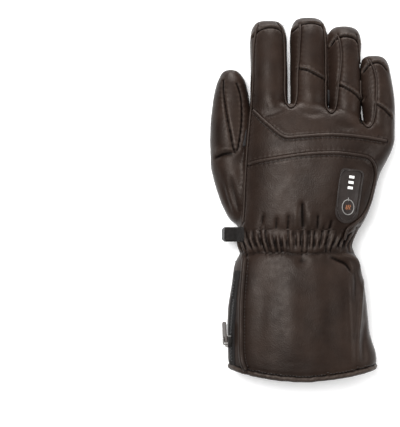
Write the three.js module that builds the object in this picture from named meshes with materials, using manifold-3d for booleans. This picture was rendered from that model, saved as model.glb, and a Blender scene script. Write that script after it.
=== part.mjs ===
// An insulated leather gauntlet glove for the right hand, with a heat control on its back.
// It lies palm down: millimetres, +X to the little finger, +Y to the fingertips, +Z up.
// The hollow form is lofted through the short tables below and then cut into its sewn panels.
import * as THREE from "three";
import { mergeVertices } from "three/addons/utils/BufferGeometryUtils.js";
import Module from "manifold-3d";

const wasm = await Module();
wasm.setup();

// Sizes of the whole glove. The wrist seam is at y = 0
const cuffLength = 116;
const handLength = 120;
const wristWidth = 94;
const wristOffset = -8;
const wristDepth = 43;
const wristLift = 7.3;
const hemWidth = 125;
const hemOffset = -1.2;
const cuffDepth = 57.5;
const knuckleWidth = 122;
const knuckleOffset = 16;
const handDepth = 52;
const wall = 3.2;
const clearance = 0.3;
const flattening = 3;
const knuckleFall = 15;
const hemBow = 10;
const cuffRoundness = 2.2;
const handRoundness = 2.5;
const fingerRoundness = 2.15;

// Fingers: centre line and half width are shares of knuckleWidth, reach is one of fingerReach
const fingerReach = 194;
const fingerTable = [
  { name: "index", base: -0.364, tip: -0.372, reach: 0.987, radius: 0.126 },
  { name: "middle", base: -0.087, tip: -0.0885, reach: 1, radius: 0.128 },
  { name: "ring", base: 0.175, tip: 0.154, reach: 0.961, radius: 0.113 },
  { name: "little", base: 0.403, tip: 0.369, reach: 0.83, radius: 0.099 },
];
const fingers = fingerTable.map((row) => ({
  name: row.name,
  base: knuckleOffset + row.base * knuckleWidth,
  tip: knuckleOffset + row.tip * knuckleWidth,
  reach: row.reach * fingerReach,
  radius: row.radius * knuckleWidth,
}));
const fingerRoot = 88;
const fingerFlatness = 0.95;
const curlDrop = 18;
const curlStart = 95;
const curlPower = 1.7;
const backHeight = 28;

// Thumb: it leaves the wrist at thumbRoot and ends at thumbReach
const thumbRoot = 14;
const thumbReach = 149;
const thumbWidth = 37.6;
const thumbDepth = 32;
const thumbLean = 62;
const thumbSeamHeight = 19.8;

// Sewn parts
const seamRise = 4;
const seamDrop = 60;
const fourchetteHeight = 6;
const fourchetteFrom = 0.79;
const fourchetteTo = -0.7;
const fourchetteTip = -0.56;
const fourchetteTurn = 0.3;
const cuffSeamHeight = 29;
const weltWidth = 2;
const weltRise = 1.2;
const bindingWidth = 2.8;
const bindingRise = 0.8;
const hemBinding = 4.5;
const hemCutReach = 1.6;
const gatherTop = 13;
const gatherBottom = -7;
const gatherCount = 36;
const gatherDepth = 1.9;

// Heat control: a moulded plate with three light bars and a round push button
const controlWidth = 20;
const controlLength = 46;
const controlCentre = new THREE.Vector2(0.31 * knuckleWidth, 0.342 * handLength);
const controlTilt = THREE.MathUtils.degToRad(-8);
const controlThickness = 2.9;
const controlRim = 1.5;
const controlRecess = 0.9;
const lightWidth = 4.4;
const lightHeight = 2.2;
const lightsAlong = [16.3, 11.7, 7.1];
const buttonAlong = -9.6;
const buttonRadius = 3.4;
const buttonRingWidth = 1.3;
const controlCorner = 4;
const controlTop = controlCentre.y + controlLength;

// Pocket zip across the palm side of the cuff, and the zip of the cuff's side opening
const pocketCentre = new THREE.Vector2(-9.5, -27.2);
const pocketLength = 89;
const pocketHeight = 12.4;
const tapeDepth = 1;
const tapeThickness = 1.2;
const sliderClearance = 0.4;
const pocketSliderX = 27;
const gussetInset = 1.6;
const cuffZipHeight = 37;
const cuffZipWidth = 8;
const cuffZipTop = -22;
const cuffZipBottom = -104;
const cuffSliderY = -90;

// Sliders and their pulls. The pull turns on a cross bar that lies in the bail's tunnel
const sliderLength = 10;
const sliderWidth = 8;
const sliderHeight = 3;
const sliderChamfer = 1;
const bailHalfLength = 3;
const bailThickness = 1;
const bailWidth = 1.6;
const tunnelHeight = 2.2;
const pullBarRadius = 0.6;
const pullThickness = 1.4;
const pullWidth = 6.2;
const pullLength = 17;
const pullArmGap = 2.6;

// Webbing loop and hook that clip the pair together, at the thumb side of the wrist
const webbingWidth = 9;
const webbingThickness = 1.2;
const webbingLoop = 6;
const hookWidth = 12.5;
const hookLength = 11;
const hookThickness = 3.4;
const hookBar = 2.2;
const hookCorner = 2;
const hookTongue = 0.5;
const clipAlong = 8.5;
const clipHeight = 27;

// How far each edge has gone from the wrist's to the hem's; low is a share of wristLift
const cuffRows = [
  { along: 0, left: 0, right: 0, low: 1, high: 0 },
  { along: 0.07, left: -0.12, right: 0.26, low: 1.1, high: 0.02 },
  { along: 0.15, left: 0.44, right: 0.35, low: 1.2, high: 0.14 },
  { along: 0.32, left: 0.74, right: 0.52, low: 1.2, high: 0.48 },
  { along: 0.47, left: 0.98, right: 0.62, low: 0, high: 0.76 },
  { along: 0.7, left: 1.12, right: 0.76, low: 0, high: 1 },
  { along: 0.86, left: 1.04, right: 0.95, low: 0, high: 1 },
  { along: 1, left: 1, right: 1, low: 0, high: 0.97 },
];

// The same for the hand, from the wrist to the crotches; low and high are shares of handDepth
const handRows = [
  { along: 0.06, left: 0.02, right: 0.12, low: 0.13, high: 0.965 },
  { along: 0.145, left: 0.08, right: 0.3, low: 0.11, high: 0.98 },
  { along: 0.25, left: 0.26, right: 0.45, low: 0.07, high: 1 },
  { along: 0.34, left: 0.34, right: 0.53, low: 0.05, high: 1 },
  { along: 0.49, left: 0.43, right: 0.67, low: 0.03, high: 1 },
  { along: 0.64, left: 0.53, right: 0.85, low: 0.03, high: 0.99 },
  { along: 0.8, left: 0.74, right: 0.94, low: 0.08, high: 0.955 },
  { along: 0.91, left: 0.92, right: 0.98, low: 0.16, high: 0.89 },
  { along: 0.97, left: 0.99, right: 0.99, low: 0.22, high: 0.84 },
  { along: 1, left: 1, right: 1, low: 0.26, high: 0.8 },
];

// Fingers: girth is a share of the finger's radius
const fingerRows = [
  { along: 0, girth: 0.98 },
  { along: 0.38, girth: 1 },
  { along: 0.62, girth: 1 },
  { along: 0.82, girth: 1 },
  { along: 0.91, girth: 0.95 },
  { along: 0.965, girth: 0.81 },
  { along: 1, girth: 0.56 },
];

// Thumb: lean is the centre's share of thumbLean, wide and deep are shares of its full size
const thumbRows = [
  { along: 0, lean: 0.62, wide: 0.76, deep: 0.76, height: 0.66 },
  { along: 0.06, lean: 0.74, wide: 0.93, deep: 0.9, height: 0.63 },
  { along: 0.15, lean: 0.815, wide: 0.985, deep: 1, height: 0.58 },
  { along: 0.25, lean: 0.88, wide: 1, deep: 1, height: 0.55 },
  { along: 0.39, lean: 0.96, wide: 1, deep: 1, height: 0.55 },
  { along: 0.56, lean: 1.005, wide: 0.88, deep: 0.97, height: 0.55 },
  { along: 0.68, lean: 1.02, wide: 0.79, deep: 0.93, height: 0.53 },
  { along: 0.84, lean: 1.005, wide: 0.74, deep: 0.87, height: 0.49 },
  { along: 0.93, lean: 0.99, wide: 0.61, deep: 0.73, height: 0.46 },
  { along: 1, lean: 1.0, wide: 0.3, deep: 0.4, height: 0.43 },
];

// Seams of the back as seen from above: x is a share of knuckleWidth, y of handLength
const knuckleSeam = [
  { x: -0.5, y: 1.08 },
  { x: -0.353, y: 0.956 },
  { x: -0.28, y: 0.88 },
  { x: -0.191, y: 0.8 },
  { x: -0.123, y: 0.757 },
  { x: 0.061, y: 0.772 },
  { x: 0.209, y: 0.777 },
  { x: 0.404, y: 0.761 },
  { x: 0.593, y: 0.733 },
  { x: 0.72, y: 0.71 },
];
const backSeam = [
  { x: -0.5, y: 0.545 },
  { x: -0.394, y: 0.565 },
  { x: -0.325, y: 0.588 },
  { x: -0.157, y: 0.616 },
  { x: 0.03, y: 0.641 },
  { x: 0.218, y: 0.648 },
  { x: 0.342, y: 0.635 },
  { x: 0.436, y: 0.615 },
  { x: 0.49, y: 0.57 },
  { x: 0.507, y: 0.5 },
  { x: 0.496, y: 0.415 },
  { x: 0.46, y: 0.275 },
  { x: 0.399, y: 0.172 },
  { x: 0.298, y: 0.1 },
];
const backEdge = [
  { x: 0.298, y: 0.1 },
  { x: 0.27, y: 0.06 },
];

// The band between the two seams of the back ends where this row of the back seam turns down
const backSeamTurn = 7;

// Seam across the palm under the fingers, in the same shares
const palmSeam = [
  { x: -0.6, y: 0.93 },
  { x: -0.35, y: 0.92 },
  { x: -0.11, y: 0.9 },
  { x: 0.12, y: 0.86 },
  { x: 0.33, y: 0.8 },
  { x: 0.5, y: 0.716 },
  { x: 0.7, y: 0.6 },
];

// Edge of the cuff's back panel at the side opening: x is a share of hemWidth, y of cuffLength
const openingEdge = [
  { x: -0.4, y: -0.06 },
  { x: -0.424, y: -0.34 },
  { x: -0.43, y: -0.56 },
  { x: -0.424, y: -0.85 },
  { x: -0.395, y: -0.96 },
];

// Back panel of the thumb: x is a share of thumbLean, y of thumbReach
const thumbPanel = [
  { x: -1.13, y: 1.05 },
  { x: -1.1, y: 0.87 },
  { x: -1.058, y: 0.76 },
  { x: -1, y: 0.64 },
  { x: -0.958, y: 0.55 },
  { x: -0.916, y: 0.53 },
  { x: -0.87, y: 0.6 },
  { x: -0.835, y: 0.725 },
  { x: -0.84, y: 0.87 },
  { x: -0.86, y: 1.05 },
];

// Facets
const outlineSamples = 360;
const bodySides = 38;
const liningSides = 20;
const fingerSides = 12;
const liningFingerSides = 8;
const handSteps = 9;
const liningSteps = 5;
const controlSteps = 6;
const seamSteps = 27;
const shortSeamSteps = 10;
const gatherSteps = 4;
const heightStep = 15;
const hemCutSteps = 16;
const shortEdge = 0.06;
const farAway = 300;

// Numbers between the rows of a table, on a smooth curve that never overshoots a row
function between(rows, key, at) {
  const last = rows.length - 1;
  const found = rows.findIndex((row) => row.at >= at);
  const upper = found < 0 ? last : Math.max(found, 1);
  const rise = (i) => (rows[i][key] - rows[i - 1][key]) / (rows[i].at - rows[i - 1].at);
  const slope = (i) => {
    const [before, after] = [rise(Math.max(i, 1)), rise(Math.min(i + 1, last))];
    return before * after > 0 ? (2 * before * after) / (before + after) : 0;
  };
  const [a, b] = [rows[upper - 1], rows[upper]];
  const span = b.at - a.at;
  const share = THREE.MathUtils.clamp((at - a.at) / span, 0, 1);
  const [s2, s3] = [share ** 2, share ** 3];
  return (
    (2 * s3 - 3 * s2 + 1) * a[key] +
    (s3 - 2 * s2 + share) * slope(upper - 1) * span +
    (3 * s2 - 2 * s3) * b[key] +
    (s3 - s2) * slope(upper) * span
  );
}

const mix = THREE.MathUtils.lerp;

// Cross-sections of the cuff and the hand, from the hem to the crotches
const wristRow = {
  left: wristOffset - wristWidth / 2,
  right: wristOffset + wristWidth / 2,
  high: wristLift + wristDepth,
};
const cuffStations = cuffRows.map((row) => ({
  at: -row.along * cuffLength,
  left: mix(wristRow.left, hemOffset - hemWidth / 2, row.left),
  right: mix(wristRow.right, hemOffset + hemWidth / 2, row.right),
  low: wristLift * row.low,
  high: mix(wristRow.high, cuffDepth, row.high),
}));
const handStations = handRows.map((row) => ({
  at: row.along * handLength,
  left: mix(wristRow.left, knuckleOffset - knuckleWidth / 2, row.left),
  right: mix(wristRow.right, knuckleOffset + knuckleWidth / 2, row.right),
  low: handDepth * row.low,
  high: handDepth * row.high,
}));
cuffStations.reverse();
const stations = [...cuffStations, ...handStations];

function bodySection(y) {
  return {
    y,
    left: between(stations, "left", y),
    right: between(stations, "right", y),
    low: Math.max(between(stations, "low", y), 0),
    high: between(stations, "high", y),
    power: y < 0 ? cuffRoundness : handRoundness,
  };
}

// Height of the middle of the hand and fingers, which curl down to the tips
function curlHeight(y) {
  const share = Math.max(0, y - curlStart) / (fingerReach - curlStart);
  return backHeight - curlDrop * share ** curlPower;
}

// Points and outward normals round a section, flat where it rests, evenly spaced
function outline(section, count) {
  const middleX = (section.left + section.right) / 2;
  const middleZ = (section.low + section.high) / 2;
  const reachX = (section.right - section.left) / 2;
  const reachZ = (section.high - section.low) / 2;
  const samples = outlineSamples;
  const round = 2 / section.power;
  const fine = [];
  for (let i = 0; i <= samples; i += 1) {
    const angle = (i / samples) * 2 * Math.PI;
    const [c, s] = [Math.cos(angle), Math.sin(angle)];
    const depth = s > 0 ? reachZ : reachZ + flattening;
    const x = middleX + reachX * Math.sign(c) * Math.abs(c) ** round;
    const z = middleZ + depth * Math.sign(s) * Math.abs(s) ** round;
    fine.push(new THREE.Vector2(x, Math.max(z, section.low)));
  }
  const lengths = [0];
  for (let i = 1; i <= samples; i += 1) {
    lengths.push(lengths[i - 1] + fine[i].distanceTo(fine[i - 1]));
  }
  const points = [];
  let step = 1;
  for (let i = 0; i < count; i += 1) {
    const target = (i / count) * lengths[samples];
    while (lengths[step] < target) step += 1;
    const share = (target - lengths[step - 1]) / (lengths[step] - lengths[step - 1] || 1);
    points.push(fine[step - 1].clone().lerp(fine[step], share));
  }
  return points.map((point, i) => {
    const next = points[(i + 1) % count];
    const previous = points[(i + count - 1) % count];
    const along = next.clone().sub(previous).normalize();
    return { point, normal: new THREE.Vector2(along.y, -along.x) };
  });
}

// One ring of 3-D points: the section moved outwards by grow
function ring(section, count, grow, slide = () => 0) {
  return outline(section, count).map(({ point, normal }, i) => {
    const out = typeof grow === "function" ? grow(i) : grow;
    const moved = point.clone().addScaledVector(normal, out);
    return new THREE.Vector3(moved.x, section.y + slide(moved.x, section), moved.y);
  });
}

// A closed solid through rings of equal count, with a cap at each end
function loft(rings) {
  const count = rings[0].length;
  const points = rings.flat();
  const ends = [rings[0], rings[rings.length - 1]].map((end) =>
    end.reduce((sum, point) => sum.add(point), new THREE.Vector3()).divideScalar(count),
  );
  const index = [];
  for (let i = 0; i + 1 < rings.length; i += 1) {
    for (let j = 0; j < count; j += 1) {
      const k = (j + 1) % count;
      const [a, b, c, d] = [i * count + j, i * count + k, (i + 1) * count + j, (i + 1) * count + k];
      index.push(a, c, b, b, c, d);
    }
  }
  const first = points.length;
  const top = (rings.length - 1) * count;
  for (let j = 0; j < count; j += 1) {
    const k = (j + 1) % count;
    index.push(first, j, k);
    index.push(first + 1, top + k, top + j);
  }
  const geometry = new THREE.BufferGeometry().setFromPoints([...points, ...ends]);
  geometry.setIndex(index);
  return solidOf(geometry);
}

function solidOf(geometry) {
  const bare = geometry.clone();
  bare.deleteAttribute("normal");
  bare.deleteAttribute("uv");
  const merged = mergeVertices(bare, 1e-4);
  return new wasm.Manifold(
    new wasm.Mesh({
      numProp: 3,
      vertProperties: new Float32Array(merged.attributes.position.array),
      triVerts: new Uint32Array(merged.index.array),
    }),
  );
}

function geometryOf(solid) {
  const mesh = solid.getMesh();
  const geometry = new THREE.BufferGeometry();
  geometry.setAttribute("position", new THREE.BufferAttribute(mesh.vertProperties, 3));
  geometry.setIndex(new THREE.BufferAttribute(mesh.triVerts, 1));
  geometry.computeVertexNormals();
  return geometry;
}

// A solid standing on an outline seen from above
function prism(points, low = -farAway, high = farAway) {
  const shape = new THREE.Shape(points);
  const geometry = new THREE.ExtrudeGeometry(shape, { depth: high - low, bevelEnabled: false });
  return solidOf(geometry.translate(0, 0, low));
}

// A solid standing on a strip of even width along a curve seen from above
function strip(curve, width, low = -farAway, steps = seamSteps) {
  const left = [];
  const right = [];
  for (let i = 0; i <= steps; i += 1) {
    const point = curve.getPoint(i / steps);
    const along = curve.getTangent(i / steps);
    const side = new THREE.Vector2(-along.y, along.x).multiplyScalar(width / 2);
    left.push(point.clone().add(side));
    right.push(point.clone().sub(side));
  }
  return prism([...left, ...right.reverse()], low);
}

// Everything above a height that follows y
function above(heightAt, lift) {
  const points = [];
  for (let y = -farAway / 2; y <= farAway; y += heightStep) {
    points.push(new THREE.Vector2(y, heightAt(y) + lift));
  }
  const shape = new THREE.Shape([
    new THREE.Vector2(-farAway / 2, farAway),
    ...points,
    new THREE.Vector2(farAway, farAway),
  ]);
  const geometry = new THREE.ExtrudeGeometry(shape, { depth: 2 * farAway, bevelEnabled: false });
  const axes = new THREE.Matrix4().makeBasis(
    new THREE.Vector3(0, 1, 0),
    new THREE.Vector3(0, 0, 1),
    new THREE.Vector3(1, 0, 0),
  );
  return solidOf(geometry.applyMatrix4(axes).translate(-farAway, 0, 0));
}

function box(x0, x1, y0, y1, z0 = -farAway, z1 = farAway) {
  const geometry = new THREE.BoxGeometry(x1 - x0, y1 - y0, z1 - z0);
  return solidOf(geometry.translate((x0 + x1) / 2, (y0 + y1) / 2, (z0 + z1) / 2));
}

const joined = (solids) => solids.reduce((sum, solid) => sum.add(solid));
const scaled = (rows, sizeX, sizeY) =>
  rows.map((row) => new THREE.Vector2(row.x * sizeX, row.y * sizeY));

// How far the crotches fall back towards the little finger
const crotchFall = (x) => {
  const littleSide = 0.57 * knuckleWidth;
  return knuckleFall * (Math.max(0, x + knuckleOffset) / littleSide) ** 2;
};

// Where the hand and the cuff are not square to y: crotches and hem are curved lines
function slide(x, section) {
  const atKnuckles = THREE.MathUtils.smoothstep(section.y, 0.5 * handLength, handLength);
  const atHem = THREE.MathUtils.smoothstep(-section.y, 0.2 * cuffLength, cuffLength);
  const fromMiddle = ((x - hemOffset) / (hemWidth / 2)) ** 2;
  return hemBow * atHem * fromMiddle - crotchFall(x) * atKnuckles;
}

function bodyLoft(places, grow, sides = bodySides) {
  return loft(places.map((y) => ring(bodySection(y), sides, grow, slide)));
}

// Places of the rings: evenly spaced, or at the rows of the cuff's table
const evenly = (from, to, steps) =>
  Array.from({ length: steps + 1 }, (_, i) => mix(from, to, i / steps));

const fingerCentre = (finger, y) =>
  mix(finger.base, finger.tip, (y - fingerRoot) / (finger.reach - fingerRoot));

function fingerLoft(finger, grow, sides = fingerSides) {
  const rings = fingerRows.map((row) => {
    const y = mix(fingerRoot, finger.reach + grow, row.along);
    const middle = fingerCentre(finger, y);
    const half = finger.radius * row.girth;
    const height = curlHeight(y);
    const section = {
      y,
      left: middle - half,
      right: middle + half,
      low: Math.max(height - half * fingerFlatness, 0),
      high: height + half * fingerFlatness,
      power: fingerRoundness,
    };
    return ring(section, sides, grow);
  });
  return loft(rings);
}

function thumbLoft(grow, sides = fingerSides) {
  const rings = thumbRows.map((row) => {
    const middle = -thumbLean * row.lean;
    const half = (thumbWidth / 2) * row.wide;
    const height = thumbDepth * row.height;
    const deep = (thumbDepth / 2) * row.deep;
    const section = {
      y: mix(thumbRoot, thumbReach + grow, row.along),
      left: middle - half,
      right: middle + half,
      low: Math.max(height - deep, 0),
      high: height + deep,
      power: fingerRoundness,
    };
    return ring(section, sides, grow);
  });
  return loft(rings);
}

// The hand: one hollow shell that the panels are cut from
const handBottom = gatherTop + clearance;
const handPlaces = evenly(handBottom, handLength, handSteps);
const handOuter = bodyLoft(handPlaces, 0);
const liningPlaces = evenly(handBottom - wall, handLength - wall, liningSteps);
const handInner = bodyLoft(liningPlaces, -wall, liningSides);
const fingersOuter = joined(fingers.map((finger) => fingerLoft(finger, 0)));
const fingersInner = joined(fingers.map((finger) => fingerLoft(finger, -wall, liningFingerSides)));
const thumbOuter = thumbLoft(0);
const thumbGrown = thumbLoft(clearance);
const hollow = handInner.add(fingersInner).add(thumbLoft(-wall, liningFingerSides));
const handShell = handOuter.add(fingersOuter).subtract(hollow);

// Middle of the gap between two fingers, at their roots or, with key "tip", at their tips
const gapMiddle = (first, second, key) =>
  (first[key] + first.radius + second[key] - second.radius) / 2;

// Strips between the fingers, and how far they are widened to leave a gap round them
function fourchetteSpace(first, second, margin) {
  const crotch = handLength - crotchFall(gapMiddle(first, second, "base")) - wall - margin;
  const reach = Math.min(first.reach, second.reach) + fourchetteHeight;
  const turn = mix(crotch, reach, fourchetteTurn);
  const onFirst = (y) => fingerCentre(first, y) + first.radius * fourchetteFrom - margin;
  const onSecond = (y, share) => fingerCentre(second, y) + second.radius * share + margin;
  const space = prism([
    new THREE.Vector2(onFirst(crotch), crotch),
    new THREE.Vector2(onSecond(crotch, fourchetteTo), crotch),
    new THREE.Vector2(onSecond(turn, fourchetteTip), turn),
    new THREE.Vector2(onSecond(reach, fourchetteTip), reach),
    new THREE.Vector2(onSecond(reach, fourchetteTip), farAway),
    new THREE.Vector2(onFirst(reach), farAway),
    new THREE.Vector2(onFirst(reach), reach),
  ]);
  return space.intersect(above(curlHeight, -fourchetteHeight - margin));
}

const parts = new THREE.Group();

const finishes = {
  leather: { color: 0x2a211e, roughness: 0.48, metalness: 0 },
  piping: { color: 0x211a18, roughness: 0.45, metalness: 0 },
  nylon: { color: 0x141314, roughness: 0.8, metalness: 0 },
  plastic: { color: 0x17171a, roughness: 0.35, metalness: 0 },
  control: { color: 0x2c2625, roughness: 0.4, metalness: 0 },
  lights: { color: 0xe8e8e4, roughness: 0.3, metalness: 0 },
  ring: { color: 0x8d8a86, roughness: 0.4, metalness: 0 },
  amber: { color: 0x9a4a24, roughness: 0.4, metalness: 0 },
  steel: { color: 0xb9b7b2, roughness: 0.3, metalness: 1 },
};

function add(name, solid, finish) {
  const material = new THREE.MeshStandardMaterial(finishes[finish]);
  const mesh = new THREE.Mesh(geometryOf(solid), material);
  mesh.name = name;
  parts.add(mesh);
}

// The body's surface, moved by grow, where a section passes nearest to a point
function surfaceAt(target, grow) {
  const nearest = (y) =>
    outline(bodySection(y), outlineSamples).reduce((best, one) => {
      const distance = Math.hypot(one.point.x - target.x, one.point.y - target.z);
      return distance < best.distance ? { ...one, distance } : best;
    }, { distance: Infinity });
  const here = nearest(target.y);
  const slope = nearest(target.y + 1).point.sub(nearest(target.y - 1).point).dot(here.normal) / 2;
  const normal = new THREE.Vector3(here.normal.x, -slope, here.normal.y).normalize();
  const shifted = target.y + slide(here.point.x, { y: target.y });
  const point = new THREE.Vector3(here.point.x, shifted, here.point.y).addScaledVector(normal, grow);
  return { point, normal };
}

// The largest body of a cut solid, without the slivers and short edges that a cut leaves
function whole(solid) {
  const bodies = solid.simplify(shortEdge).decompose();
  return bodies.reduce((best, one) => (one.volume() > best.volume() ? one : best));
}

// Panels of the back of the hand and of the palm
const sideSeam = (y) => curlHeight(y) + seamRise;
const pairs = [0, 1, 2].map((i) => [fingers[i], fingers[i + 1]]);
const fourchetteRoom = joined(pairs.map(([a, b]) => fourchetteSpace(a, b, clearance)));
const knuckleCurve = new THREE.SplineCurve(scaled(knuckleSeam, knuckleWidth, handLength));
const backCurve = new THREE.SplineCurve(scaled(backSeam, knuckleWidth, handLength));
const edgeCurve = new THREE.LineCurve(...scaled(backEdge, knuckleWidth, handLength));
const withoutThumb = handShell.subtract(thumbGrown);
const backHalf = withoutThumb.intersect(above(sideSeam, clearance / 2)).subtract(fourchetteRoom);
const palmHalf = withoutThumb.subtract(above(sideSeam, -clearance / 2)).subtract(fourchetteRoom);
const knuckleStrip = (width) => strip(knuckleCurve, width, backHeight);
const backStrip = (width) =>
  strip(backCurve, width, backHeight).add(strip(edgeCurve, width, backHeight, 1));

const seamEnd = knuckleCurve.getPoint(1);
const seamStart = knuckleCurve.getPoint(0);
const aboveKnuckleSeam = prism([
  ...knuckleCurve.getPoints(seamSteps),
  new THREE.Vector2(farAway, seamEnd.y),
  new THREE.Vector2(farAway, farAway),
  new THREE.Vector2(-farAway, farAway),
  new THREE.Vector2(-farAway, seamStart.y),
]);
const insideBackSeam = prism([
  ...backCurve.getPoints(seamSteps),
  edgeCurve.v2,
  new THREE.Vector2(edgeCurve.v2.x, -farAway),
  new THREE.Vector2(-farAway, -farAway),
  new THREE.Vector2(-farAway, backCurve.getPoint(0).y),
]);
const turnOfSeam = scaled(backSeam, knuckleWidth, handLength)[backSeamTurn];
const bandCut = strip(
  new THREE.LineCurve(turnOfSeam, new THREE.Vector2(farAway, turnOfSeam.y - seamDrop)),
  clearance,
  backHeight,
  1,
);
const seamRoom = weltWidth + 2 * clearance;
const backCut = backHalf
  .subtract(knuckleStrip(seamRoom))
  .subtract(backStrip(seamRoom))
  .subtract(bandCut);
const belowKnuckles = backCut.subtract(aboveKnuckleSeam).subtract(insideBackSeam);
const besideBack = prism([
  turnOfSeam,
  new THREE.Vector2(farAway, turnOfSeam.y - seamDrop),
  new THREE.Vector2(farAway, -farAway),
  new THREE.Vector2(edgeCurve.v2.x, -farAway),
]);

add("knuckle_panel", whole(backCut.intersect(aboveKnuckleSeam)), "leather");
add("mid_back_band", whole(belowKnuckles.subtract(besideBack)), "leather");
add("back_panel", whole(backCut.intersect(insideBackSeam)), "leather");
add("outer_side_panel", whole(belowKnuckles.intersect(besideBack)), "leather");

// The palm side: the palm up to its seam, and a front for each finger
const palmCurve = new THREE.SplineCurve(scaled(palmSeam, knuckleWidth, handLength));
const palmStrip = strip(palmCurve, clearance);
const underFingers = prism([
  ...palmCurve.getPoints(seamSteps),
  new THREE.Vector2(farAway, -farAway),
  new THREE.Vector2(-farAway, -farAway),
]);
add("palm_panel", whole(palmHalf.subtract(palmStrip).intersect(underFingers)), "leather");

const gapLines = pairs.map(([a, b]) => [
  new THREE.Vector2(gapMiddle(a, b, "base"), 0),
  new THREE.Vector2(gapMiddle(a, b, "tip"), farAway),
]);
const lanes = [
  [new THREE.Vector2(-farAway, 0), new THREE.Vector2(-farAway, farAway)],
  ...gapLines,
  [new THREE.Vector2(farAway, 0), new THREE.Vector2(farAway, farAway)],
];
const gapStrip = (line) => strip(new THREE.LineCurve(...line), clearance, -farAway, 1);
const gapCuts = joined(gapLines.map(gapStrip));
const fronts = palmHalf.subtract(palmStrip).subtract(underFingers).subtract(gapCuts);
fingers.forEach((finger, i) => {
  const lane = prism([lanes[i][0], lanes[i + 1][0], lanes[i + 1][1], lanes[i][1]]);
  add(`${finger.name}_front`, whole(fronts.intersect(lane)), "leather");
});
pairs.forEach(([a, b]) => {
  const piece = withoutThumb.intersect(fourchetteSpace(a, b, 0));
  add(`fourchette_${a.name}_${b.name}`, whole(piece), "leather");
});

// Piped welts, raised along the two seams of the back
const weltShell = bodyLoft(handPlaces, weltRise).subtract(hollow).subtract(thumbGrown);
const weltBand = weltShell.intersect(above(sideSeam, clearance / 2)).subtract(fourchetteRoom);
add("knuckle_welt", whole(weltBand.intersect(knuckleStrip(weltWidth))), "piping");
add("back_welt", whole(weltBand.intersect(backStrip(weltWidth))), "piping");

// Thumb, with its back panel
const thumbSolid = thumbOuter.subtract(hollow);
const panelCurve = new THREE.SplineCurve(scaled(thumbPanel, thumbLean, thumbReach));
const panelPrism = prism(panelCurve.getPoints(seamSteps));
const panelSeam = strip(panelCurve, clearance, thumbSeamHeight);
const thumbCut = thumbSolid.subtract(panelSeam);
const aboveThumbSeam = (lift) => box(-farAway, farAway, -farAway, farAway, thumbSeamHeight + lift);
const raised = (lift) => panelPrism.intersect(aboveThumbSeam(lift));
add("thumb_shell", whole(thumbCut.subtract(raised(0))), "leather");
add("thumb_back_panel", whole(thumbCut.intersect(raised(clearance))), "leather");

// Gathered leather over the elastic at the wrist
const gatherRings = [];
for (let i = 0; i <= gatherSteps; i += 1) {
  const section = bodySection(mix(gatherBottom, gatherTop, i / gatherSteps));
  const swell = gatherDepth * Math.sin((Math.PI * i) / gatherSteps);
  gatherRings.push(ring(section, 2 * gatherCount, (side) => (side % 2 ? 0 : swell), slide));
}
const wristPlaces = evenly(gatherBottom - wall, gatherTop + wall, gatherSteps - 1);
const wristHollow = bodyLoft(wristPlaces, -wall, liningSides);
add("wrist_gathers", whole(loft(gatherRings).subtract(wristHollow)), "leather");

// Cuff: back panel, palm panel with its pocket, and the gusset of the side opening
const cuffTop = gatherBottom - clearance;
const hemRoom = (lift) => {
  const points = [];
  for (let i = 0; i <= hemCutSteps; i += 1) {
    const share = mix(-hemCutReach, hemCutReach, i / hemCutSteps);
    const y = -cuffLength + hemBinding + hemBow * share ** 2 + lift;
    points.push(new THREE.Vector2(hemOffset + (share * hemWidth) / 2, y));
  }
  const corners = [new THREE.Vector2(farAway, -farAway), new THREE.Vector2(-farAway, -farAway)];
  return prism([...points, ...corners]);
};
const cuffPlaces = [
  ...cuffStations.map((row) => row.at).filter((at) => at < cuffTop - wall),
  cuffTop,
];
const cuffForm = (grow) => bodyLoft(cuffPlaces, grow);
const hemCut = hemRoom(clearance);
const cuffLoft = (grow) => cuffForm(grow).subtract(hemCut);
const cuffHollow = bodyLoft([-cuffLength - hemBow, ...cuffPlaces, cuffTop + wall], -wall, liningSides);
const cuffShell = cuffLoft(0).subtract(cuffHollow);
const aboveCuffSeam = (lift) => box(-farAway, farAway, -farAway, farAway, cuffSeamHeight + lift);
const openingCurve = new THREE.SplineCurve(scaled(openingEdge, hemWidth, cuffLength));
const openingStrip = (width) =>
  strip(openingCurve, width, cuffSeamHeight + clearance / 2, shortSeamSteps);
const openingEnd = openingCurve.getPoint(1);
const besideOpening = prism([
  ...openingCurve.getPoints(shortSeamSteps),
  new THREE.Vector2(openingEnd.x, -farAway),
  new THREE.Vector2(farAway, -farAway),
  new THREE.Vector2(farAway, farAway),
  new THREE.Vector2(openingCurve.getPoint(0).x, farAway),
]);
const openingRoom = openingStrip(bindingWidth + 2 * clearance);
const cuffBack = cuffShell.intersect(aboveCuffSeam(clearance / 2)).subtract(openingRoom);
const gussetForm = cuffLoft(-gussetInset).subtract(cuffHollow);
const gussetShell = gussetForm.intersect(aboveCuffSeam(clearance / 2));
const pocketRoom = (margin) => {
  const halfX = pocketLength / 2 + margin;
  const halfY = pocketHeight / 2 + margin;
  const { x, y } = pocketCentre;
  return box(x - halfX, x + halfX, y - halfY, y + halfY).subtract(aboveCuffSeam(-wall));
};
const cuffPalm = cuffShell.subtract(aboveCuffSeam(-clearance / 2));
add("cuff_back_panel", whole(cuffBack.intersect(besideOpening)), "leather");
add("cuff_gusset", whole(gussetShell.subtract(openingRoom).subtract(besideOpening)), "leather");
add("cuff_palm_panel", whole(cuffPalm.subtract(pocketRoom(0))), "leather");
const bindingShell = cuffLoft(bindingRise).subtract(cuffHollow).intersect(openingStrip(bindingWidth));
add("opening_binding", whole(bindingShell), "piping");
add("hem_binding", whole(cuffForm(0).intersect(hemRoom(0)).subtract(cuffHollow)), "piping");

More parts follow.
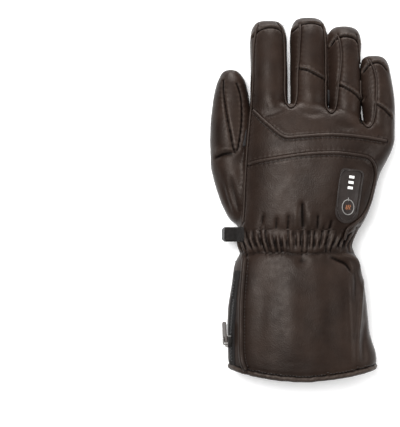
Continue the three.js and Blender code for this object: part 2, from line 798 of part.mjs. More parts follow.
// Zips. A slider lies with its base at z = 0, x along the zip; its pull points to -x
const barHeight = sliderHeight + tunnelHeight / 2;
const tunnelHalfLength = bailHalfLength - bailThickness;
const pullReach = bailHalfLength + tunnelHeight / 2;

function sliderSolid() {
  const plan = new THREE.Shape();
  const half = sliderWidth / 2;
  const nose = sliderWidth / 4;
  plan.moveTo(-sliderLength / 2, half - sliderChamfer);
  plan.lineTo(-sliderLength / 2, sliderChamfer - half);
  plan.lineTo(sliderChamfer - sliderLength / 2, -half);
  plan.lineTo(0, -half);
  plan.lineTo(sliderLength / 2, -nose);
  plan.lineTo(sliderLength / 2, nose);
  plan.lineTo(0, half);
  plan.lineTo(sliderChamfer - sliderLength / 2, half);
  const plate = new THREE.ExtrudeGeometry(plan, { depth: sliderHeight, bevelEnabled: false });
  const base = solidOf(plate);
  const top = sliderHeight + tunnelHeight + bailThickness;
  const arch = new THREE.Shape();
  arch.moveTo(-bailHalfLength, sliderHeight / 2);
  arch.lineTo(bailHalfLength, sliderHeight / 2);
  arch.lineTo(bailHalfLength, top - bailThickness);
  arch.lineTo(tunnelHalfLength, top);
  arch.lineTo(-tunnelHalfLength, top);
  arch.lineTo(-bailHalfLength, top - bailThickness);
  const tunnel = new THREE.Path();
  tunnel.moveTo(-tunnelHalfLength, sliderHeight);
  tunnel.lineTo(tunnelHalfLength, sliderHeight);
  tunnel.lineTo(tunnelHalfLength, sliderHeight + tunnelHeight);
  tunnel.lineTo(-tunnelHalfLength, sliderHeight + tunnelHeight);
  arch.holes.push(tunnel);
  const bail = new THREE.ExtrudeGeometry(arch, { depth: bailWidth, bevelEnabled: false });
  return base.add(solidOf(bail.translate(0, 0, -bailWidth / 2).rotateX(Math.PI / 2)));
}

function pullSolid() {
  const half = pullWidth / 2;
  const slot = pullArmGap / 2;
  const end = pullThickness / 2;
  const plan = new THREE.Shape();
  plan.moveTo(end, slot);
  plan.lineTo(-pullReach, slot);
  plan.lineTo(-pullReach, -slot);
  plan.lineTo(end, -slot);
  plan.lineTo(end, -half);
  plan.lineTo(-pullLength + half, -half);
  plan.absarc(-pullLength + half, 0, half, -Math.PI / 2, -1.5 * Math.PI, true);
  plan.lineTo(end, half);
  const options = { depth: pullThickness, bevelEnabled: false, curveSegments: 8 };
  const plate = new THREE.ExtrudeGeometry(plan, options).translate(0, 0, barHeight - end);
  const bar = new THREE.CylinderGeometry(pullBarRadius, pullBarRadius, pullWidth - 1, 10);
  return solidOf(plate).add(solidOf(bar.translate(0, 0, barHeight)));
}

// A slider and its pull, moved to the zip: along is the way the zip runs
function addZipper(name, target, along, grow) {
  const { point, normal } = surfaceAt(target, grow + sliderClearance);
  const across = new THREE.Vector3().crossVectors(normal, along).normalize();
  const forward = new THREE.Vector3().crossVectors(across, normal);
  const frame = new THREE.Matrix4().makeBasis(forward, across, normal).setPosition(point);
  add(`${name}_slider`, sliderSolid(), "steel");
  add(`${name}_pull`, pullSolid(), "steel");
  parts.children.slice(-2).forEach((mesh) => mesh.applyMatrix4(frame));
}

const pocketTape = cuffLoft(-tapeDepth).subtract(cuffLoft(-tapeDepth - tapeThickness));
add("pocket_zip_tape", whole(pocketTape.intersect(pocketRoom(-clearance))), "nylon");
addZipper(
  "pocket_zip",
  new THREE.Vector3(pocketSliderX, pocketCentre.y, 0),
  new THREE.Vector3(1, 0, 0),
  -tapeDepth,
);
const zipTapeBase = clearance - gussetInset;
const cuffTape = cuffLoft(zipTapeBase + tapeThickness).subtract(cuffLoft(zipTapeBase));
const cuffZipRoom = box(
  -farAway,
  hemOffset,
  cuffZipBottom,
  cuffZipTop,
  cuffZipHeight - cuffZipWidth / 2,
  cuffZipHeight + cuffZipWidth / 2,
);
const cuffTapeShape = cuffTape.intersect(cuffZipRoom).subtract(besideOpening).subtract(openingRoom);
add("cuff_zip_tape", whole(cuffTapeShape), "nylon");
addZipper(
  "cuff_zip",
  new THREE.Vector3(hemOffset - hemWidth / 2, cuffSliderY, cuffZipHeight),
  new THREE.Vector3(0, -1, 0),
  zipTapeBase + tapeThickness,
);

// Heat control: every outline is drawn round the plate's centre and then turned with it
const placed = (points) =>
  points.map((point) => point.rotateAround(new THREE.Vector2(), controlTilt).add(controlCentre));

function platePrism(inset) {
  const half = controlWidth / 2 - inset;
  const top = controlLength / 2 - inset;
  const corner = controlCorner - inset;
  const shape = new THREE.Shape();
  shape.absarc(0, controlWidth / 2 - controlLength / 2, half, Math.PI, 2 * Math.PI, false);
  shape.absarc(half - corner, top - corner, corner, 0, Math.PI / 2, false);
  shape.absarc(corner - half, top - corner, corner, Math.PI / 2, Math.PI, false);
  return prism(placed(shape.getPoints(5)), backHeight);
}

function discPrism(radius) {
  const disc = new THREE.Shape().absarc(0, buttonAlong, radius, 0, 2 * Math.PI, false);
  return prism(placed(disc.getPoints(8)).slice(0, -1), backHeight);
}

const controlLoft = (grow) => bodyLoft(evenly(handBottom, controlTop, controlSteps), grow);
const field = controlThickness - controlRecess;
const mouldedPlate = platePrism(0)
  .intersect(controlLoft(controlThickness))
  .subtract(controlLoft(clearance))
  .subtract(platePrism(controlRim).subtract(controlLoft(field)));
add("control_panel", whole(mouldedPlate), "control");
const inlay = controlLoft(controlThickness).subtract(controlLoft(field + clearance));
lightsAlong.forEach((along, i) => {
  const [halfX, halfY] = [lightWidth / 2, lightHeight / 2];
  const corners = [[-halfX, -halfY], [halfX, -halfY], [halfX, halfY], [-halfX, halfY]];
  const bar = placed(corners.map(([x, y]) => new THREE.Vector2(x, y + along)));
  add(`light_bar_${i + 1}`, whole(prism(bar, backHeight).intersect(inlay)), "lights");
});
const ringPrism = discPrism(buttonRadius + buttonRingWidth).subtract(discPrism(buttonRadius));
add("button_ring", whole(ringPrism.intersect(inlay)), "ring");
add("push_button", whole(discPrism(buttonRadius - clearance).intersect(inlay)), "amber");

// Webbing loop from the wrist's thumb side, and the hook whose bar lies in it
const clipPlace = new THREE.Vector3(-farAway, clipAlong, clipHeight);
const clip = surfaceAt(clipPlace, gatherDepth + clearance).point;
const loopHole = hookThickness + 2 * clearance;
const loopOuter = loopHole + 2 * webbingThickness;

function stadium(from, to, height) {
  const round = height / 2;
  const shape = new THREE.Shape();
  shape.moveTo(from, -round);
  shape.lineTo(from, round);
  shape.lineTo(to + round, round);
  shape.absarc(to + round, 0, round, Math.PI / 2, 1.5 * Math.PI, false);
  return shape;
}

const loopShape = stadium(0, -webbingLoop, loopOuter);
loopShape.holes.push(stadium(-webbingThickness, webbingThickness - webbingLoop, loopHole));
const loopOptions = { depth: webbingWidth, bevelEnabled: false, curveSegments: 6 };
const loopGeometry = new THREE.ExtrudeGeometry(loopShape, loopOptions);
loopGeometry.translate(0, 0, -webbingWidth / 2).rotateX(Math.PI / 2);
add("webbing_loop", solidOf(loopGeometry.translate(clip.x, clip.y, clip.z)), "nylon");

function hookPlate() {
  const half = hookWidth / 2;
  const barStart = -webbingThickness - clearance;
  const slotStart = barStart - hookBar;
  const slotEnd = -webbingLoop - clearance;
  const end = barStart - hookLength;
  const slotHalf = webbingWidth / 2 + clearance;
  const shape = new THREE.Shape();
  shape.moveTo(barStart, -half);
  shape.lineTo(barStart, half);
  shape.lineTo(end + hookCorner, half);
  shape.lineTo(end, half - hookCorner);
  shape.lineTo(end, hookCorner - half);
  shape.lineTo(end + hookCorner, -half);
  shape.lineTo(end + hookBar + hookTongue, -half);
  shape.lineTo(end + hookBar, hookBar - half);
  shape.lineTo(end + hookBar, half - hookBar);
  shape.lineTo(slotEnd - hookBar, half - hookBar);
  shape.lineTo(slotEnd - hookBar, -half);
  const slot = new THREE.Path();
  slot.moveTo(slotStart, -slotHalf);
  slot.lineTo(slotStart, slotHalf);
  slot.lineTo(slotEnd, slotHalf);
  slot.lineTo(slotEnd, -slotHalf);
  shape.holes.push(slot);
  return new THREE.ExtrudeGeometry(shape, { depth: hookThickness, bevelEnabled: false });
}
const hookGeometry = hookPlate().translate(clip.x, clip.y, clip.z - hookThickness / 2);
add("clip_hook", solidOf(hookGeometry), "plastic");

// The origin is under the middle of the whole glove, on the surface that it lies on
const bounds = new THREE.Box3().setFromObject(parts);
const centre = bounds.getCenter(new THREE.Vector3());
parts.position.set(-centre.x, -centre.y, -bounds.min.z);
const glove = new THREE.Group();
glove.add(parts);

export default glove;
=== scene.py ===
"""Looks of a heated leather gauntlet glove for the right hand, lying palm down.

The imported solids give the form. Their leather panels are copied, joined and remeshed into one
fine skin, puffed up by a cloth simulation between the seams, and shaped by the seams, folds and
gathers listed below. The skin is then cut back into its panels, one piece for each solid.
Lengths and places in the values below are millimetres in the glove's own frame: x to the little
finger, y to the fingertips, z out of the back of the hand. Blender's own lengths are metres.
"""

import math
import random

import bmesh
import bpy
import numpy as np
from mathutils import Matrix, Vector, noise
from mathutils.bvhtree import BVHTree
from mathutils.kdtree import KDTree


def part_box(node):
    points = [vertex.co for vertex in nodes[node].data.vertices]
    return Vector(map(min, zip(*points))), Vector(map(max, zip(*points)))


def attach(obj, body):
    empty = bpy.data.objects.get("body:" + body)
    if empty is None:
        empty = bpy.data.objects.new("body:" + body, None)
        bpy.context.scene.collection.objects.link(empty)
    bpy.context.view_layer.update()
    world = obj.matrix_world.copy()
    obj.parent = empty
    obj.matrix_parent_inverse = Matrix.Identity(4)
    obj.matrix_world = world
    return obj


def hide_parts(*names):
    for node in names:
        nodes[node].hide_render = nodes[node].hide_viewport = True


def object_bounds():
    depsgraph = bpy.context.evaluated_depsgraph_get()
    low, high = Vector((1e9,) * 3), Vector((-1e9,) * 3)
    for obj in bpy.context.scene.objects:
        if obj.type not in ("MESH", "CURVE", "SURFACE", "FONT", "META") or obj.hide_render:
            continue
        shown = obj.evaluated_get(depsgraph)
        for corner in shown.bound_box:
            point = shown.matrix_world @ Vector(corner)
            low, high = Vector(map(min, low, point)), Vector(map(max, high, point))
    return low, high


MM = 0.001
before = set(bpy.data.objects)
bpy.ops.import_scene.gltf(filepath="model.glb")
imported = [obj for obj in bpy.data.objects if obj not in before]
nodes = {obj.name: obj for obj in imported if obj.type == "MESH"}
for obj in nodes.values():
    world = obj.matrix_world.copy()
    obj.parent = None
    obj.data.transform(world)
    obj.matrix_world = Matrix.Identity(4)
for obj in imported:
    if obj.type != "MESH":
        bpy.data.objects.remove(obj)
cad_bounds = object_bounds()
random.seed(7)

# Skin: how fine it is, how it is made smooth, and how thick its walls are
VOXEL = 0.95
COARSE_VOXEL = 5
GAP_CLOSING = 0.25
FACET_ROUNDS = 50
GROWTH = 0.8
PANEL_THICKNESS = 2.2
TAPE_THICKNESS = 0.9
CURVE_STEP = 1.2
FLOOR_GAP = 0.35

# The sheet that closes the cuff's mouth while the skin is remeshed lies this far from the solids
MOUTH_AWAY = 3
MOUTH_AWAY_FROM_HEM = 0.9

# Swelling of the padding: the air, the furthest move, and what is held near seams, floor and hem
SWELL_PRESSURE = 4
SWELL_FRAMES = 20
SWELL_CAP = 1.4
SEAM_HOLD = 4.5
FLOOR_HOLD = 2.5
HEM_HOLD = 20
WRIST_HOLD = 14

PANELS = [
    "knuckle_panel", "mid_back_band", "back_panel", "outer_side_panel", "palm_panel",
    "index_front", "middle_front", "ring_front", "little_front",
    "fourchette_index_middle", "fourchette_middle_ring", "fourchette_ring_little",
    "thumb_shell", "thumb_back_panel", "wrist_gathers", "cuff_back_panel", "cuff_gusset",
    "cuff_palm_panel", "hem_binding", "pocket_zip_tape",
]
FILLERS = ["knuckle_welt", "back_welt", "opening_binding"]

# Seams on the back and the palm side. Each kind says how the leather is shaped along the line
KINDS = {
    "welt": {"groove": 1.1, "width": 2.0, "step": 0.3, "cord": 1.25, "rise": 0.25},
    "edge": {"groove": 0.8, "width": 1.5, "step": 0.1, "cord": 0.75, "rise": 0.3},
    "lap": {"groove": 2.0, "width": 1.0, "step": 0.8, "cord": 0, "rise": 0},
    "tuck": {"groove": 1.3, "width": 1.0, "step": 1.1, "cord": 0, "rise": 0},
    "closed": {"groove": 1.2, "width": 1.1, "step": 0.15, "cord": 0, "rise": 0},
    "bound": {"groove": 1.2, "width": 3.2, "step": 0.0, "cord": 2.3, "rise": 0.9},
}
SEAMS = [
    ("index_cap_seam", "back", "lap", [
        (-42, 139), (-40.4, 141.2), (-36.8, 144.3), (-31.7, 146.3), (-26, 146.9),
        (-20, 145.5), (-17, 143), (-15, 139.5)]),
    ("middle_cap_seam", "back", "lap", [
        (-8, 143.5), (-3.9, 147), (0.3, 149.7), (8.2, 150.9), (13.5, 150), (17.5, 148.3), (20, 145)]),
    ("ring_cap_seam", "back", "lap", [
        (24.8, 131.5), (28.6, 136.3), (32.2, 138.3), (37.8, 139), (43.9, 137.6), (47, 135.4), (48.8, 133)]),
    ("little_cap_seam", "back", "lap", [
        (52.5, 108.5), (56.5, 113.7), (60.5, 116.1), (66.3, 116.2), (70.6, 113), (73.3, 109)]),
    ("index_side_seam", "back", "edge", [
        (-37.5, 150.5), (-39.6, 142), (-41.2, 131), (-41.9, 116.7), (-41.9, 101.3), (-42.6, 88.5),
        (-43.4, 76.6), (-45.4, 56.1), (-47.2, 37.8), (-48.3, 20.3), (-49.9, -8.7), (-51, -22)]),
    ("index_middle_seam", "back", "edge", [
        (-20.5, 151), (-16.5, 144), (-15.2, 132), (-15, 112), (-15.2, 95), (-14.6, 86), (-13, 80),
        (-10, 77.3), (-7, 79.5), (-5.4, 84), (-4.6, 90), (-4.1, 107), (-2.9, 118.5), (-2.2, 131),
        (-1.2, 144), (-2, 152)]),
    ("middle_ring_seam", "back", "edge", [
        (17.5, 151), (19.6, 143), (20.4, 128), (20.3, 110), (20, 97), (19.8, 84), (20.6, 77),
        (24, 72.5), (27.6, 76), (29.4, 84), (30.6, 97), (32, 107), (33, 115), (33.4, 124),
        (32.3, 133.5), (29.8, 142)]),
    ("ring_little_seam", "back", "edge", [
        (47, 140), (48.8, 130), (49.4, 110), (49.6, 95), (49.8, 85), (50.2, 73), (52.5, 64),
        (56, 60.8), (59.8, 65.5), (62, 77), (63, 92), (62.8, 103), (60.3, 112.5), (56.5, 119.5)]),
    ("middle_tuck_seam", "back", "tuck", [
        (-3, 111), (0, 110.2), (5, 109), (11, 105.9), (16.9, 103), (20.2, 101.3)]),
    ("ring_tuck_seam", "back", "tuck", [(31.5, 96.5), (37, 94), (42.1, 91.1), (46.5, 87.8), (49.8, 83.5)]),
    ("little_tuck_seam", "back", "tuck", [(63.5, 80), (67, 77.9), (70.4, 75.4), (75.8, 69.8)]),
    ("thumb_panel_seam", "back", "closed", [
        (-67.3, 101), (-67.3, 90.5), (-64.8, 74), (-61.2, 56.3), (-58.5, 42.9), (-56, 39.9),
        (-53.4, 50.1), (-51.4, 68.9), (-52.2, 87.3), (-55.6, 99)]),
    ("knuckle_welt", "back", "welt", [
        (-42.3, 75.9), (-33.4, 66.6), (-22.5, 57), (-17, 52.9), (-12.5, 51.9), (-3.5, 52.7),
        (8.4, 53.5), (26.3, 54.2), (50.2, 52.3), (73, 48.8)]),
    ("back_welt", "back", "welt", [
        (-46.4, 28.8), (-38.8, 31.4), (-18.3, 34.9), (4.6, 37.9), (27.4, 38.7), (42.5, 37.2),
        (54.1, 35.2), (60, 30.3), (62.4, 22), (61, 10.9), (56.4, -6.2), (49.5, -17), (38.8, -25), (36, -31),
        (34.9, -37)]),
    ("opening_binding", "back", "bound", [
        (-49.3, -49.5), (-50.4, -60), (-51.8, -77), (-52.7, -92), (-52.9, -110), (-52.5, -131),
        (-50.6, -141), (-47, -147.5)]),
    ("index_front_seam", "palm", "lap", [(-41, 121.8), (-35, 119.6), (-28.8, 118.8), (-17, 120)]),
    ("palm_seam", "palm", "tuck", [
        (62.2, 46.9), (52, 52.5), (41.3, 57.5), (28, 61.5), (15.7, 64.4), (1, 67.2), (-12.3, 69),
        (-27, 70.6), (-42, 71.4)]),
    ("lower_palm_seam", "palm", "tuck", [
        (48.3, -12.1), (39, -7.6), (24.5, -3.4), (9.9, 0.6), (-4.5, 4.7), (-18.7, 8.6)]),
    ("thumb_gusset_seam", "palm", "closed", [
        (-32.7, 58.2), (-28.5, 52.5), (-24.7, 45.9), (-21.6, 39), (-19.9, 31.9), (-19.3, 16),
        (-19.3, 0), (-19.9, -22)]),
    ("thumb_front_seam", "palm", "closed", [
        (-59.8, 105), (-61.4, 92), (-62.1, 78.6), (-62.8, 66), (-62.6, 54.4), (-62, 42),
        (-60.3, 30.7), (-57, 17), (-52.7, 3.2), (-48, -8), (-44.2, -17.3)]),
    ("thumb_root_seam", "palm", "closed", [
        (-46.5, 56), (-44.5, 44), (-42.8, 33), (-39.5, 14.3), (-34.5, -12)]),
]
# How far beside a seam the leather is shaped, how it puckers there, and where its step stands
SEAM_REACH = 9
PUCKER_PITCH = 4.3
PUCKER_HEIGHT = 0.09
PUCKER_PLACE = 2.6
PUCKER_WIDTH = 2.2
STEP_PLACE = 1.6
STEP_WIDTH = 1.8

# Rows of stitches: the seam that they follow, how far to its left, and the stretch sewn
STITCHES = [
    ("knuckle_welt", -2.9, 0.02, 0.98), ("back_welt", -2.9, 0.06, 0.58), ("index_cap_seam", 1.5, 0.08, 0.92),
    ("middle_cap_seam", 1.5, 0.08, 0.92), ("ring_cap_seam", 1.5, 0.08, 0.92),
    ("little_cap_seam", 1.5, 0.08, 0.92), ("middle_tuck_seam", 1.7, 0.12, 0.97),
    ("ring_tuck_seam", 1.7, 0.05, 0.97), ("little_tuck_seam", 1.7, 0.05, 0.97),
    ("opening_binding", 3.4, 0.02, 0.98), ("palm_seam", 1.8, 0.03, 0.97),
    ("lower_palm_seam", 1.8, 0.03, 0.97), ("thumb_gusset_seam", 1.6, 0.03, 0.97),
    ("thumb_gusset_seam", -1.6, 0.03, 0.97), ("index_front_seam", 1.6, 0.05, 0.95),
    ("hem_seam", -2.4, 0.0, 1.0),
]
STITCH_PITCH = 2.7
STITCH_LENGTH = 1.9
STITCH_RADIUS = 0.28
STITCH_RISE = 0.06
STITCH_REACH = 6
FURROW_DEPTH = 0.3
FURROW_WIDTH = 0.8

# Folds: side, height (below 0 a crease), half width, and the line that it follows
FOLDS = [
    ("back", -0.7, 2.6, [(-33, 69), (-25, 71.5), (-16, 75)]),
    ("back", 0.8, 4.0, [(-30, 78), (-22, 80)]),
    ("back", -0.5, 3.0, [(0, 73), (9, 71.5), (17, 72.5)]),
    ("back", -0.5, 3.0, [(28, 64), (36, 61), (46, 60.5)]),
    ("back", -1.3, 2.0, [(-74.6, 34.8), (-66.6, 38), (-58, 38.6)]),
    ("back", 1.0, 3.0, [(-74, 40), (-66, 42.6), (-59, 42)]),
    ("back", -0.8, 2.4, [(-60.5, 18), (-58.6, 8), (-56.6, -2), (-54, -12)]),
    ("back", 0.5, 2.6, [(-64.4, 16), (-62.4, 4), (-58.5, -9)]),
    ("back", -0.5, 2.2, [(-67.5, 12), (-64.5, 0), (-60.5, -12)]),
    ("back", -1.6, 2.2, [(-0.8, -4), (-0.6, -14), (-0.4, -25)]),
    ("back", -0.9, 1.8, [(-34, -14), (-36, -24)]),
    ("back", -0.9, 1.8, [(-22.5, -16), (-23, -26)]),
    ("back", -0.8, 1.7, [(-12.5, -14), (-13, -26)]),
    ("back", -1.0, 1.8, [(12.5, -14), (12, -26)]),
    ("back", -0.9, 1.8, [(24, -18), (22, -28)]),
    ("back", 0.9, 2.4, [(-6, -10), (-6.6, -25)]),
    ("back", 0.8, 2.4, [(6, -12), (5.6, -25)]),
    ("back", -1.1, 1.6, [(51, -22), (43, -29), (36, -33.5)]),
    ("back", 0.9, 2.0, [(53, -16.5), (46.5, -24), (40, -30)]),
    ("back", -2.0, 2.0, [(24, -49.5), (31, -52.5), (37, -55.5), (41, -62)]),
    ("back", 2.0, 3.0, [(33, -46.5), (40, -48.5), (46, -53), (49, -60)]),
    ("back", -1.0, 3.0, [(44, -62), (45, -72), (44.5, -84)]),
    ("back", 1.3, 2.4, [(52.5, -66), (50.5, -80), (48.5, -100), (46.8, -118), (46.5, -140)]),
    ("back", -1.0, 3.2, [(53.5, -104), (52, -120), (52, -138)]),
    ("back", 1.1, 9.0, [(-12, -62), (-11, -90), (-10, -138)]),
    ("back", -1.0, 9.0, [(27, -66), (30, -95), (33, -138)]),
    ("back", 1.1, 4.5, [(39, -64), (40, -95), (41, -136)]),
    ("back", -0.7, 7.0, [(-34, -66), (-36, -100), (-38, -136)]),
    ("palm", -1.4, 2.6, [(-36.2, 62.1), (-8, 56), (21.5, 47.6), (40, 41.5), (55.3, 35.6)]),
    ("palm", 1.3, 4.0, [(-32, 55), (-6, 49.5), (22, 41), (52, 30)]),
    ("palm", -1.2, 2.2, [(-18.2, 18.7), (0, 14), (16.5, 9.2), (34, 5), (50.6, 0.8)]),
    ("palm", 1.0, 3.4, [(-16, 24), (16, 15), (50, 6)]),
    ("palm", -1.6, 2.6, [(21.5, -45.4), (33, -52.2), (40.2, -65.9)]),
    ("palm", 1.4, 3.0, [(26, -41.5), (38, -48.5), (46, -60)]),
    ("palm", -0.8, 5.0, [(-20, -84), (-17, -110), (-22, -138)]),
    ("palm", 0.8, 7.0, [(15, -86), (18, -112), (15, -140)]),
]
# Soft knuckles and hollows: side, place, height, radius
MOUNDS = [
    ("back", (-27.5, 87), 1.1, 9), ("back", (6.5, 89), 0.9, 8), ("back", (39, 80), 0.9, 8),
    ("back", (66, 66), 0.9, 7), ("back", (-1, -52), -2.0, 4.5), ("back", (-28, 118), 0.5, 9),
    ("back", (-62, 20), 0.9, 8), ("palm", (-10, 30), 1.4, 14), ("palm", (30, -20), 1.2, 10),
]

# Sides that fill out: where, which way and how far, and how wide. Only what faces that way moves
PUSHES = [
    ((79, 80, 20), (2.6, 0, 0), (14, 26, 40)), ((78, 43, 20), (-1.6, 0, 0), (14, 9, 40)),
    ((50, 133, 24), (3.4, 0, 0), (12, 16, 40)), ((50, 92, 22), (1.5, 0, 0), (9, 22, 40)),
    ((54, 86, 20), (-1.0, 0, 0), (8, 24, 40)), ((-52, 58, 18), (4.8, 0, 0), (12, 30, 40)),
    ((53, -72, 25), (1.3, 0, 0), (14, 28, 40)), ((62, -138, 20), (1.6, 0, 0), (12, 14, 40)),
]

# Gathers over the elastic of the wrist, whose section is round about the centre (x, z)
WRIST_CENTRE = (-3.5, 28.5)
WRIST_SLOTS = 120
WRIST_SECTION = 4
GATHER_MIDDLE = -37.5
GATHER_PITCH = 5.6
GATHER_FAN = 0.0065
GATHER_HEIGHT = 2.2
GATHER_REACH_UP = 8.5
GATHER_REACH_DOWN = 5.5
CREST_WIDTH = 0.23
CREST_SUNK = 0.6
# Where the elastic draws the leather in: place along the glove, half width and depth
ELASTIC = [(0, 8, 0.6), (-8.5, 2.6, 1.0), (9, 4, 0.7)]

# The roll along the edge of the cuff, and where the skin's growth fades out towards it
HEM_WIDTH = 6.5
HEM_ROLL = 1.0
HEM_GROOVE = 1.2
HEM_CENTRE_HEIGHT = 28
HEM_POINTS = 4
HEM_FADE_START = -150
HEM_FADE = 8

# The control in the back of the hand, the strap and the zips
CONTROL_RIM = [
    (34.5, 24), (49.3, 22.2), (49.2, 10), (47.2, -4), (44.4, -13.5), (39.5, -18.6), (34, -18.3),
    (29.6, -13), (28.6, -4), (29.8, 10), (31.8, 21.5),
]
BUTTON_CENTRE = (37.9, -7.3)
BUTTON_OVAL = (5.0, 6.3)
PRINT_RADIUS = 0.42
PRINT_RISE = 0.12
MARK_RADIUS = 0.34
MARK_SPREAD = (-1.5, 0, 1.5)
MARK_HEIGHTS = (-1.8, -1.35, -0.9, -0.45, 0, 0.45, 0.9, 1.35, 1.8)
STRAP_WIDTH = 12.5
STRAP_THICKNESS = 1.3
STRAP_RISE = 0.9
STRAP_ENDS = (-53, -51.5, -49.5)
TOOTH_PITCH = 1.3
TOOTH_SIZE = (1.5, 0.62, 0.75)
TOOTH_SHIFT = 0.55
TOOTH_RISE = 0.2
ZIP_END = 4

# Wandering creases of the leather: height and size of each layer, and the deepest hollow
CREASES = [(0.6, 28), (0.13, 10), (0.04, 4)]
DEEPEST = 3.4

# Camera: the long side of its picture, what it looks at, and the height of the glove's outline
LONG_SIDE = 364.2
VIEW_CENTRE = (-87.1, -12.6)
OUTLINE_HEIGHT = 30
LENS = 200
SENSOR = 36

# Light of the surroundings and lamps: name, place in metres, size and power
SURROUNDINGS = 0.24
LAMPS = [
    ("key", (-0.42, 0.3, 1.65), 0.8, 33),
    ("beyond the fingers", (0.05, 1.35, 0.38), 0.8, 25),
    ("right", (1.2, 0.1, 0.9), 0.5, 7),
    ("low", (-0.1, -1.25, 0.55), 0.6, 4),
]


def shell_of(name, grow):
    """A merged copy of a solid's mesh, moved outwards by grow."""
    part = bmesh.new()
    part.from_mesh(nodes[name].data)
    bmesh.ops.remove_doubles(part, verts=part.verts, dist=1e-6)
    part.normal_update()
    moves = [vert.normal * grow * MM for vert in part.verts]
    for vert, move in zip(part.verts, moves):
        vert.co += move
    return part


def mesh_of(part, name):
    """The bmesh as a mesh of that name."""
    mesh = bpy.data.meshes.new(name)
    part.to_mesh(mesh)
    part.free()
    return mesh


def remeshed(mesh, voxel):
    """The mesh's outside as even quads of that size."""
    thing = bpy.data.objects.new("remesh", mesh)
    bpy.context.scene.collection.objects.link(thing)
    modifier = thing.modifiers.new("Remesh", "REMESH")
    modifier.mode = "VOXEL"
    modifier.voxel_size = voxel * MM
    seen = bpy.context.evaluated_depsgraph_get()
    result = bpy.data.meshes.new_from_object(thing.evaluated_get(seen))
    bpy.data.objects.remove(thing)
    return result


def corners_of(mesh):
    places = np.empty(len(mesh.vertices) * 3)
    mesh.vertices.foreach_get("co", places)
    return places.reshape(-1, 3)


def faces_of(mesh):
    return [tuple(face.vertices) for face in mesh.polygons]


def links_of(mesh):
    pairs = np.empty(len(mesh.edges) * 2, dtype=np.int64)
    mesh.edges.foreach_get("vertices", pairs)
    return pairs.reshape(-1, 2)


def relaxed(places, links, rounds, weight=0.5):
    """Each point moved towards the middle of its neighbours, so that facets fade."""
    first = np.concatenate([links[:, 0], links[:, 1]])
    second = np.concatenate([links[:, 1], links[:, 0]])
    count = np.maximum(np.bincount(first, minlength=len(places)), 1)
    free = (np.bincount(first, minlength=len(places)) > 0)[:, None]
    for _ in range(rounds):
        middle = np.stack(
            [np.bincount(first, places[second, axis], len(places)) / count for axis in range(3)], 1
        )
        places = np.where(free, places + weight * (middle - places), places)
    return places


def normals_of(places, quads):
    """Outward normals of the corners of a mesh of quads."""
    across = np.cross(places[quads[:, 2]] - places[quads[:, 0]], places[quads[:, 3]] - places[quads[:, 1]])
    total = np.stack(
        [
            np.bincount(quads.ravel(), np.repeat(across[:, axis], 4), len(places))
            for axis in range(3)
        ],
        1,
    )
    return total / np.maximum(np.linalg.norm(total, axis=1, keepdims=True), 1e-12)


def spline_through(points, step):
    """Points at even steps on a smooth curve through the given ones."""
    rows = [Vector(point) for point in points]
    rows = [2 * rows[0] - rows[1], *rows, 2 * rows[-1] - rows[-2]]
    fine = []
    for before, start, end, after in zip(rows, rows[1:], rows[2:], rows[3:]):
        count = max(2, int((end - start).length / step * 2))
        for i in range(count):
            t = i / count
            fine.append(
                0.5
                * (
                    2 * start
                    + (end - before) * t
                    + (2 * before - 5 * start + 4 * end - after) * t**2
                    + (3 * start - before - 3 * end + after) * t**3
                )
            )
    fine.append(rows[-2])
    return evenly_spaced(fine, step)


def evenly_spaced(points, step):
    """Points at even steps along straight stretches between the given ones."""
    spaced = [points[0]]
    left = step
    for start, end in zip(points, points[1:]):
        length = (end - start).length
        while length > left:
            start = start.lerp(end, left / length)
            length = (end - start).length
            spaced.append(start)
            left = step
        left -= length
    return spaced


def on_surface(tree, side, points):
    """The points, given from above in millimetres, dropped on the back or on the palm side."""
    down = Vector((0, 0, -1)) if side == "back" else Vector((0, 0, 1))
    found = []
    for x, y in points:
        start = Vector((x * MM, y * MM, 0)) - down * 0.2
        hit = tree.ray_cast(start, down)[0]
        if hit is not None:
            found.append(hit)
    return found


def curve_on(tree, side, points):
    """An even, slightly smoothed curve on the skin below the given places."""
    flat = spline_through([(x, y, 0) for x, y in points], CURVE_STEP)
    dropped = on_surface(tree, side, [(p.x, p.y) for p in flat])
    even = evenly_spaced(dropped, CURVE_STEP * MM)
    smooth = [even[0]]
    for before, here, after in zip(even, even[1:], even[2:]):
        smooth.append((before + 2 * here + after) / 4)
    smooth.append(even[-1])
    return np.array([tuple(point) for point in smooth])


def nearest_on(curve, places, normals, reach):
    """For the points within reach of a curve: which, how far, how far to its left, and where along."""
    low = curve.min(0) - reach * MM
    high = curve.max(0) + reach * MM
    close = np.flatnonzero(np.all((places >= low) & (places <= high), axis=1))
    start = curve[:-1]
    step = curve[1:] - start
    length = np.maximum((step**2).sum(1), 1e-16)
    kept, far, left, along = [], [], [], []
    for chunk in np.array_split(close, max(1, len(close) // 4000)):
        if not len(chunk):
            continue
        away = places[chunk][:, None, :] - start[None, :, :]
        share = np.clip((away * step).sum(2) / length, 0, 1)
        gap = away - share[:, :, None] * step
        distance = np.linalg.norm(gap, axis=2)
        best = distance.argmin(1)
        rows = np.arange(len(chunk))
        sideways = np.cross(normals[chunk], step[best])
        sideways /= np.maximum(np.linalg.norm(sideways, axis=1, keepdims=True), 1e-12)
        kept.append(chunk)
        far.append(distance[rows, best])
        left.append((gap[rows, best] * sideways).sum(1))
        along.append((best + share[rows, best]) / len(step))
    if not kept:
        return np.array([], dtype=int), np.array([]), np.array([]), np.array([])
    kept, far, left, along = map(np.concatenate, (kept, far, left, along))
    near = far < reach * MM
    return kept[near], far[near] / MM, left[near] / MM, along[near]


